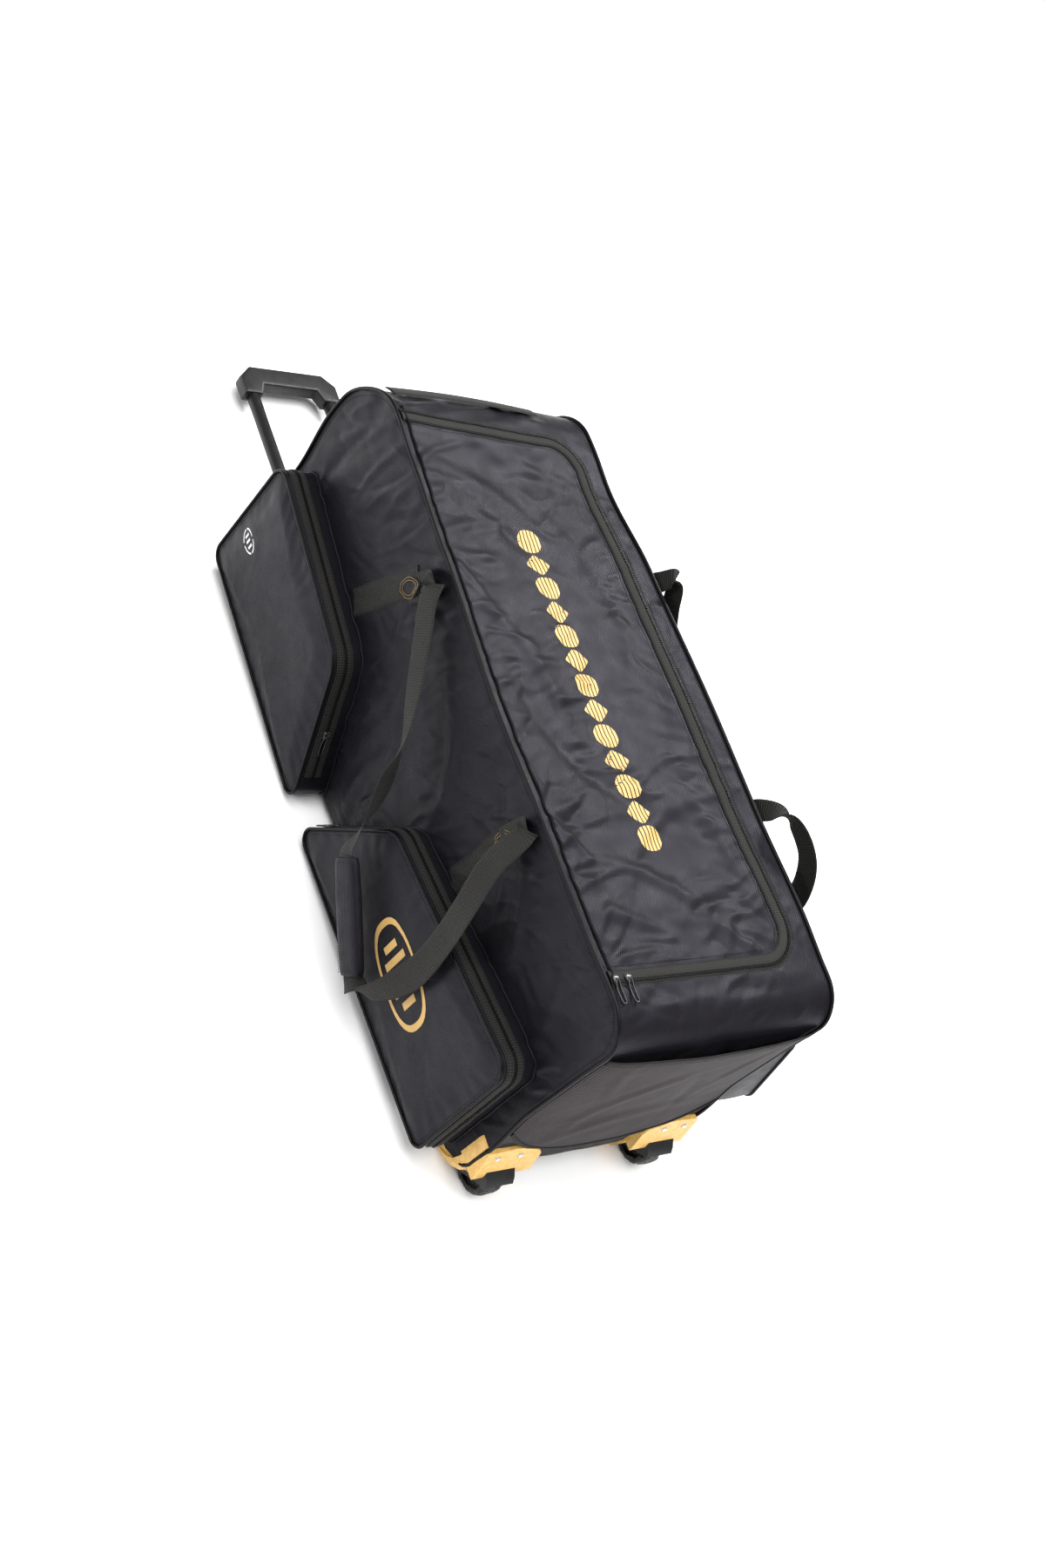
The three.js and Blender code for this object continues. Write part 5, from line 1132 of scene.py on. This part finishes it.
def strap_frame(rows, sign, straight):
    """Middle line, directions and row numbers of a strap that is straight between two rows."""
    pts = []
    for x, o, z, lean, turn in rows:
        touch = float(side_out(x, min(z, SIDE_TOP), sign)[0]) + SEWN_LIFT
        free = o + side_swell(float(x), float(z))
        pts.append((x, sign * (HW + (touch if o < SEWN_BELOW else max(free, touch))), z))
    C, at = centripetal(pts)
    a, b = straight
    inside = (at >= a) & (at <= b)
    share = ((at - a) / (b - a))[inside][:, None]
    C[inside] = np.array(pts[a]) * (1 - share) + np.array(pts[b]) * share
    lean, turn = (soften(np.radians(np.interp(at, range(len(rows)), [r[k] for r in rows]))) for k in (3, 4))
    hint = np.stack([np.cos(lean) * np.cos(turn), sign * np.sin(turn), np.sin(lean) * np.cos(turn)], 1)
    T, A = frame_along(C, hint)
    return C, A, np.cross(T, A), at


def rounded(ang, power):
    """Cosines and sines of a section with squarer corners than an ellipse."""
    c, n = np.cos(ang), np.sin(ang)
    return np.sign(c) * np.abs(c) ** power, np.sign(n) * np.abs(n) ** power


def strap_grip(name, a, b, lean, sign):
    """Wrinkled sleeve round the straight part of a strap from a to b, with its stitches."""
    along = unit(b - a)
    mid = (a + b) / 2
    wide = np.array([math.cos(lean), 0, math.sin(lean)])
    wide = unit(wide - along * (wide @ along))
    thick = np.cross(along, wide)
    ang = np.linspace(0, 2 * np.pi, 40, endpoint=False)
    cx, sx = rounded(ang, .62)
    stations = np.linspace(-.5, .5, 64)
    outer, inner = [], []
    for at in stations:
        swell = 1.0 + .05 * math.cos(at * 4.2) - .10 * max(0, abs(at) - .46) / .04
        centre = mid + along * at * GRIP_LENGTH
        ring = centre + np.outer(cx * GRIP_HALF_WIDTH * swell, wide)
        ring = ring + np.outer(sx * GRIP_HALF_DEPTH * swell, thick)
        wrinkle = .7 * noise(ring / 17, 400) + .5 * noise(ring / 8, 401)
        outer.append(ring + unit(ring - centre) * wrinkle[:, None])
        inner.append(centre + np.outer(cx * GRIP_INNER_WIDTH, wide) + np.outer(sx * GRIP_INNER_DEPTH, thick))
    G = np.stack(outer + inner[::-1] + [outer[0]])
    F = grid_faces(len(G), len(ang), closed=True, flip=True).tolist()
    uv = np.stack([np.repeat(np.arange(len(G)) * 2.3, len(ang)), np.tile(ang * 12, len(G))], 1)
    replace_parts(build(name + "_grip_cloth", G.reshape(-1, 3), F, [CLOTH], uv=uv), name + "_grip_sleeve")
    up = thick if thick[1] * sign > 0 else -thick
    for k, w in enumerate((GRIP_ROW, -GRIP_ROW)):
        shares = np.linspace(-.47, .47, 40)
        line = mid + np.outer(shares * GRIP_LENGTH, along) + wide * w + up * 8.65
        stitches(name + "_grip_stitches_%d" % k, line, up, [THREAD])
    for k, end in enumerate((-.465, .465)):
        line = mid + along * end * GRIP_LENGTH + np.outer(np.linspace(-17, 17, 20), wide) + up * 8.6
        stitches(name + "_grip_hem_%d" % k, line, up, [THREAD])


def strap_band(name, label, low, high, sign):
    """Webbing band sewn on a side panel from low to high, with its stitches."""
    n, cols = 60, 13
    line = np.linspace(low, high, n)
    along = unit(high - low)
    side = np.array([along[1], -along[0]])
    across = np.linspace(-STRAP_WIDTH / 2, STRAP_WIDTH / 2, cols)
    G = np.stack([on_side(line + side * w, sign, 1.3 - (.9 if abs(w) > 18.5 else 0)) for w in across], 1)
    uv = np.stack([np.repeat(np.linspace(0, np.hypot(*(high - low)), n), cols), np.tile(across, n)], 1)
    F = grid_faces(n, cols, flip=(sign < 0)).tolist()
    band = build("%s_band_%s_webbing" % (name, label), G.reshape(-1, 3), F, [WEB], uv=uv)
    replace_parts(band, "%s_band_%s" % (name, label))
    for k, w in enumerate((-17, 17)):
        row = on_side(line + side * w, sign, 1.6)
        stitches("%s_band_%s_stitches_%d" % (name, label, k), row, (0, sign, 0), [THREAD])
    leaf_patch(name, label, high - np.array([0, 20.0]), along, side, sign)


def leaf_patch(name, label, middle, along, side, sign):
    """Leaf-shaped patch with two rows of gold stitching over a strap's anchor."""
    shares = np.linspace(0, 1, 30)
    for k, (length, width) in enumerate(((21, 13.5), (16.5, 9.5))):
        half = np.stack([(2 * shares - 1) * length, width * np.sin(np.pi * shares) ** .8], 1)
        loop = np.vstack([half, half[::-1] * np.array([1, -1])])
        row = on_side(middle + loop[:, :1] * along + loop[:, 1:] * side, sign, 4.8)
        stitches("%s_leaf_%s_%d" % (name, label, k), row, (0, sign, 0), [GOLD_THREAD], step=2.7, length=2.0,
                 size=.75, closed=True)
    half = np.stack([(2 * shares - 1) * 24, 16 * np.sin(np.pi * shares) ** .8], 1)
    rows = [on_side(middle + half[:, :1] * along + half[:, 1:] * w * side, sign, 4.2 - 1.2 * abs(w) ** 6)
            for w in np.linspace(-1, 1, 13)]
    uv = np.stack([np.repeat(shares * 48, 13), np.tile(np.linspace(-16, 16, 13), 30)], 1)
    F = grid_faces(30, 13, flip=(sign < 0)).tolist()
    build("%s_leaf_%s_patch" % (name, label), np.stack(rows, 1).reshape(-1, 3), F, [CLOTH], uv=uv)


for rows, sign, name, straight, feet in ((NEAR, -1, "near", (11, 13), (-.505, .37)),
                                         (FAR, 1, "far", (8, 10), (-.41, .385))):
    C, A, Nn, at = strap_frame(rows, sign, straight)
    pinch = np.ones(len(at))
    for row, amount, spread in ((2.5, .26, .9), (len(rows) - 3.5, .26, .9),
                                (straight[1] + 1.4, .30, 1.1), (straight[0] - .9, .16, .8)):
        pinch -= amount * np.exp(-((at - row) / spread) ** 2)
    V, F, uv = band_mesh(C, A, Nn, STRAP_WIDTH, STRAP_THICKNESS, cols=13, crown=.9, edge_noise=.012, seed=11,
                         squeeze=pinch)
    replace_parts(build(name + "_strap_webbing", V, F, [WEB], uv=uv), name + "_strap")
    a, b = (C[np.argmin(np.abs(at - k))] for k in straight)
    strap_grip(name, a, b, math.radians(rows[straight[0] + 1][3]), sign)
    for label, row, foot in (("handle", rows[0], feet[0]), ("wheel", rows[-1], feet[1])):
        strap_band(name, label, np.array([foot * HL, .54 * H]), np.array([row[0], row[2] + 24.0]), sign)

# Grab loop on the upper corner of the handle end
GRAB_ANGLE = math.radians(120)
GRAB_WIDTH = 25.0
GRAB_THICKNESS = 2.4
bend = np.array([-HL + R_TH, 0, H - R_TH])
away = np.array([math.cos(GRAB_ANGLE), 0, math.sin(GRAB_ANGLE)])
across = np.array([math.sin(GRAB_ANGLE), 0, -math.cos(GRAB_ANGLE)])
share = np.linspace(0, 1, 80)
yy = HW * (-.88 + 1.41 * share)
rim = bend + R_TH * away
skin = body_point(np.full_like(yy, rim[0]), np.full_like(yy, rim[2]), yy)
path = bend + np.outer((skin - bend) @ away + 2.2 + 2.6 * np.sin(np.pi * share), away)
path[:, 1] = yy
n = len(path)
V, F, uv = band_mesh(path, np.tile(across, (n, 1)), np.tile(away, (n, 1)), GRAB_WIDTH, GRAB_THICKNESS,
                     crown=.8, edge_noise=.015, seed=5)
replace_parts(build("grab_loop_webbing", V, F, [WEB], uv=uv), "grab_loop")

# Printed marks: plain geometric rows that lie on the cloth


def printed(name, quads, place, mats, n=10):
    """Four-cornered prints, each n by n points, laid on a surface by place."""
    V, F, uv = [], [], []
    for quad in quads:
        a, b, c, d = (np.array(q, float) for q in quad)
        u, v = np.meshgrid(np.linspace(0, 1, n), np.linspace(0, 1, n))
        u, v = u.ravel()[:, None], v.ravel()[:, None]
        q = a * (1 - u) * (1 - v) + b * u * (1 - v) + c * u * v + d * (1 - u) * v
        F += grid_faces(n, n, start=len(V)).tolist()
        V += place(q[:, 0], q[:, 1]).tolist()
        uv += q.tolist()
    return build(name, V, F, mats, uv=uv)


def bar(x, y, half_width, half_height):
    """Corners of an upright bar about x, y."""
    return [(x + i * half_width, y + j * half_height) for i, j in ((-1, -1), (1, -1), (1, 1), (-1, 1))]


LID_MARKS = 13
SLICES = 6
SLICE_GAP = .045
quads = []
for k in range(LID_MARKS):
    cx, cy = -222 + k * 37.0, -8.0
    power = 1.15 if k % 2 else 2.4
    tall = 19.0 if k % 2 else 18.0
    for j in range(SLICES):
        lo = -1 + 2 * j / SLICES + SLICE_GAP
        hi = -1 + 2 * (j + 1) / SLICES - SLICE_GAP
        wlo, whi = (17.0 * max(0, 1 - abs(v) ** power) ** (1 / power) for v in (lo, hi))
        ylo, yhi = cy + lo * tall, cy + hi * tall
        quads.append([(cx - wlo, ylo), (cx + wlo, ylo), (cx + whi, yhi), (cx - whi, yhi)])
printed("lid_print", quads, lambda a, b: top_point(a, b, .22), [GOLD_PRINT])

BADGE = (250, 128)
BADGE_HALF = (74, 40)


def badge_point(degrees, share):
    """Point of a soft-cornered badge outline."""
    c, n = math.cos(math.radians(degrees)), math.sin(math.radians(degrees))
    reach = share / (abs(c) ** 2.6 + abs(n) ** 2.6) ** (1 / 2.6)
    return (BADGE[0] + BADGE_HALF[0] * c * reach, BADGE[1] + BADGE_HALF[1] * n * reach)


def on_front(pk):
    """Lays points on the front of a pocket."""
    return lambda a, b: np.stack([a, pk["sign"] * (HW + pocket_front(pk, a, b) + .25), b], 1)


quads = [[badge_point(k, 1), badge_point(k + 10, 1), badge_point(k + 10, .88), badge_point(k, .88)]
         for k in range(0, 360, 10)]
BARS = [(-38, 15), (-19, 24), (0, 29), (19, 24), (38, 15)]
quads += [bar(BADGE[0] + x, BADGE[1], 5, tall) for x, tall in BARS]
printed("wheel_pocket_mark", quads, on_front(POCKETS["near_wheel_pocket"]), [GOLD_PRINT], n=4)

TAG = (-420, 116)
quads = []
for k in range(24):
    if k % 6 == 5:
        continue
    a0, a1 = math.radians(k * 15), math.radians(k * 15 + 15)
    quads.append([(TAG[0] + rx * math.cos(t), TAG[1] + rz * math.sin(t))
                  for t, rx, rz in ((a0, 21, 12.5), (a1, 21, 12.5), (a1, 18, 10.6), (a0, 18, 10.6))])
quads += [bar(TAG[0] + x, TAG[1], 2, 5) for x in (-9, 0, 9)]
printed("handle_pocket_mark", quads, on_front(POCKETS["near_handle_pocket"]), [WHITE_PRINT], n=5)


def finish_node(name, mat, bevel=0.0, segments=3, angle=32):
    """Gives a solid its finish and rounds its edges by bevel millimetres."""
    ob = nodes[name]
    ob.data.materials.clear()
    ob.data.materials.append(mat)
    for poly in ob.data.polygons:
        poly.use_smooth = True
        poly.material_index = 0
    ob.modifiers.new("weld", "WELD").merge_threshold = .00002
    if bevel:
        edge = ob.modifiers.new("bevel", "BEVEL")
        edge.width = bevel / 1000
        edge.segments = segments
        edge.limit_method = "ANGLE"
        edge.angle_limit = math.radians(angle)
        edge.harden_normals = False
    ob.modifiers.new("normals", "WEIGHTED_NORMAL").keep_sharp = False


for side in ("near", "far"):
    finish_node("bracket_" + side, GOLD_PLASTIC, .9)
    finish_node("wheel_housing_" + side, BLACK_PLASTIC, .5)
    finish_node("axle_" + side, STEEL)
    finish_node("rivet_%s_outer" % side, STEEL, .3)
    finish_node("rivet_%s_inner" % side, STEEL, .3)
    finish_node("trolley_tube_" + side, TUBE_METAL)
    finish_node("tube_guide_" + side, TUBE_METAL)
finish_node("trolley_grip", BLACK_PLASTIC, 2.2, 4, 25)
finish_node("handle_bezel", BLACK_PLASTIC, 1.0)
finish_node("guide_rest", BLACK_PLASTIC, 1.0)


# Sections of a slider: along, half width, underside and top
SLIDER = [(0, 2.2, 1.0, 2.2), (.8, 4.0, .4, 3.4), (3, 4.9, 0, 4.6), (6, 4.6, 0, 4.8), (9, 4.2, 0, 4.2),
          (11, 3.4, .5, 2.8), (11.6, 2.0, 1, 2)]
PULL_ROD = 1.15


def zip_pull(name):
    """Slider and rod loop on the long, wide and standing axes of a pull's solid."""
    ob = nodes[name]
    co = np.array([(ob.matrix_world @ v.co)[:] for v in ob.data.vertices]) * 1000 - OFFSET
    mid = co.mean(0)
    co = co - mid
    long, _, up = np.linalg.svd(co)[2]
    along = co @ long
    low, high = along.min(), along.max()
    if np.ptp(co[along > high - 8] @ up) > np.ptp(co[along < low + 8] @ up):
        long, low, high = -long, -high, -low
    away = np.array([0.3, 0, 1.0]) if name.startswith("lid") else np.array([0, -1.0, 0])
    if up @ away < 0:
        up = -up
    wide = np.cross(up, long)
    under = (co @ up).min()
    cy, cz = rounded(np.linspace(0, 2 * np.pi, 28, endpoint=False), .5)
    slider = []
    for at, w, bottom, top in SLIDER:
        z = (bottom + top) / 2 + cz * (top - bottom) / 2 + under
        slider.append(mid + long * (low + at) + np.outer(cy * w, wide) + np.outer(z, up))
    faces = grid_faces(len(slider), len(cy), closed=True).tolist() + end_caps(len(slider), len(cy))
    start, end = low + 7.0, high - 1.0
    la, lb = rounded(np.linspace(0, 2 * np.pi, 72, endpoint=False), .55)
    la = (start + end) / 2 + (end - start) / 2 * la
    lb = (2.7 + .7 * (la - start) / (end - start)) * lb
    lc = under + 4.4 - 2.6 * smooth((la - start) / 12)
    loop = mid + np.outer(la, long) + np.outer(lb, wide) + np.outer(lc, up)
    side = unit(np.cross(unit(np.roll(loop, -1, 0) - np.roll(loop, 1, 0)), up))
    ang = np.linspace(0, 2 * np.pi, 10, endpoint=False)
    rod = np.cos(ang)[None, :, None] * side[:, None] + np.sin(ang)[None, :, None] * up
    rod = loop[:, None] + PULL_ROD * rod
    joined = np.vstack([grid_faces(len(loop), 10, closed=True), ring_close(len(loop), 10)])
    faces += (joined + len(slider) * len(cy)).tolist()
    verts = np.vstack([*slider, rod.reshape(-1, 3)])
    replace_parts(build(name + "_loop", verts, faces, [BLACK_METAL]), name)


for name in ("lid_zip_pull_near", "lid_zip_pull_far", "near_handle_pocket_pull", "near_wheel_pocket_pull_low",
             "near_wheel_pocket_pull_high"):
    zip_pull(name)

# Soft crumpled tyres, one on each wheel body
WHEEL_SPREAD = 266.0
WHEEL_R = 35.0
# Half section of a tyre: radius and distance from its middle
TYRE = [(5.0, -14.5), (12.6, -16), (14.7, -9.6), (23, -9.6), (25.2, -15.4), (30.5, -16), (33.6, -13),
        (WHEEL_R, -8)]
TYRE += [(WHEEL_R, 0)] + [(r, -y) for r, y in TYRE[::-1]]


def tyre(side, sign, seed):
    """Tyre with its tread and dents, on the wheel body of one side."""
    q, _ = resample(np.array(TYRE, float), 1.5)
    ang = np.linspace(0, 2 * np.pi, 110, endpoint=False)
    R, A = np.meshgrid(q[:, 0], ang, indexing="ij")
    V = np.stack([R * np.cos(A), q[:, 1][:, None] + 0 * A, R * np.sin(A)], -1).reshape(-1, 3)
    ridge = 1 - np.abs(noise(V / 9.5, seed)) * 4
    dent = -1.6 * np.clip(ridge, 0, 1) - .9 * np.clip(noise(V / 15, seed + 1) + .2, 0, 1)
    dent *= smooth((R.ravel() - 16) / 12)
    V = V + unit(V * np.array([1, 0, 1])) * dent[:, None]
    V += np.array([HL, sign * WHEEL_SPREAD / 2, WHEEL_R])
    n, m = len(q), len(ang)
    F = grid_faces(n, m, closed=True).tolist() + ring_close(n, m).tolist()
    uv = np.stack([np.tile(ang * WHEEL_R, n), np.repeat(q[:, 1], m)], 1)
    tyre_ob = build("tyre_" + side, V, F, [RUBBER], body="wheel_" + side, uv=uv)
    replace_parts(tyre_ob, "wheel_" + side)


tyre("near", -1, 700)
tyre("far", 1, 720)

# Floor, light and camera

paint, nt, b = material("floor_paint")
tone = ramp(nt, noise_tex(nt, coords(nt, uv=False), 3, 3, .5), grey(.86, .9))
nt.links.new(tone, b.inputs["Base Color"])
put(b, Roughness=.9)
me = bpy.data.meshes.new("floor")
me.from_pydata([(-9, -9, 0), (9, -9, 0), (9, 9, 0), (-9, 9, 0)], [], [(0, 1, 2, 3)])
me.materials.append(paint)
floor = bpy.data.objects.new("floor", me)
bpy.context.scene.collection.objects.link(floor)

world = bpy.data.worlds.new("studio")
bpy.context.scene.world = world
world.use_nodes = True
put(world.node_tree.nodes["Background"], Color=(1, 1, 1, 1), Strength=.42)


def area(name, where, at, size, power):
    """Rectangular lamp that faces a point."""
    li = bpy.data.lights.new(name, "AREA")
    li.shape = "RECTANGLE"
    li.size, li.size_y = size
    li.energy = power
    ob = bpy.data.objects.new(name, li)
    bpy.context.scene.collection.objects.link(ob)
    ob.location = where
    ob.rotation_euler = (Vector(at) - Vector(where)).to_track_quat("-Z", "Y").to_euler()


area("overhead", (.1, -.2, 4.6), (.1, -.2, 0), (5.0, 5.0), 430)
area("key", (-1.4, 2.2, 2.7), (.1, 0, .3), (1.0, .5), 100)
area("fill", (-.9, -3.2, 1.5), (.1, 0, .2), (1.2, .6), 46)
area("rim", (3.0, -.3, 1.2), (.5, 0, .2), (1.0, .6), 34)

cam_data = bpy.data.cameras.new("camera")
cam_data.lens = 43.12
cam_data.sensor_width = 36
cam_data.clip_start, cam_data.clip_end = .05, 60
camera = bpy.data.objects.new("camera", cam_data)
bpy.context.scene.collection.objects.link(camera)
# Camera directions and place in the row frame
right = Vector((.32808, .78812, .52080))
down = Vector((.85937, -.02008, -.51097))
forward = Vector((-.39225, .61519, -.68387))
eye = (Vector((1006.8, -1527.0, 1911.7)) + Vector(OFFSET.tolist())) / 1000
m = Matrix((right, -down, -forward)).transposed().to_4x4()
m.translation = eye
camera.matrix_world = m
bpy.context.scene.camera = camera
bpy.context.scene.view_settings.view_transform = "Standard"
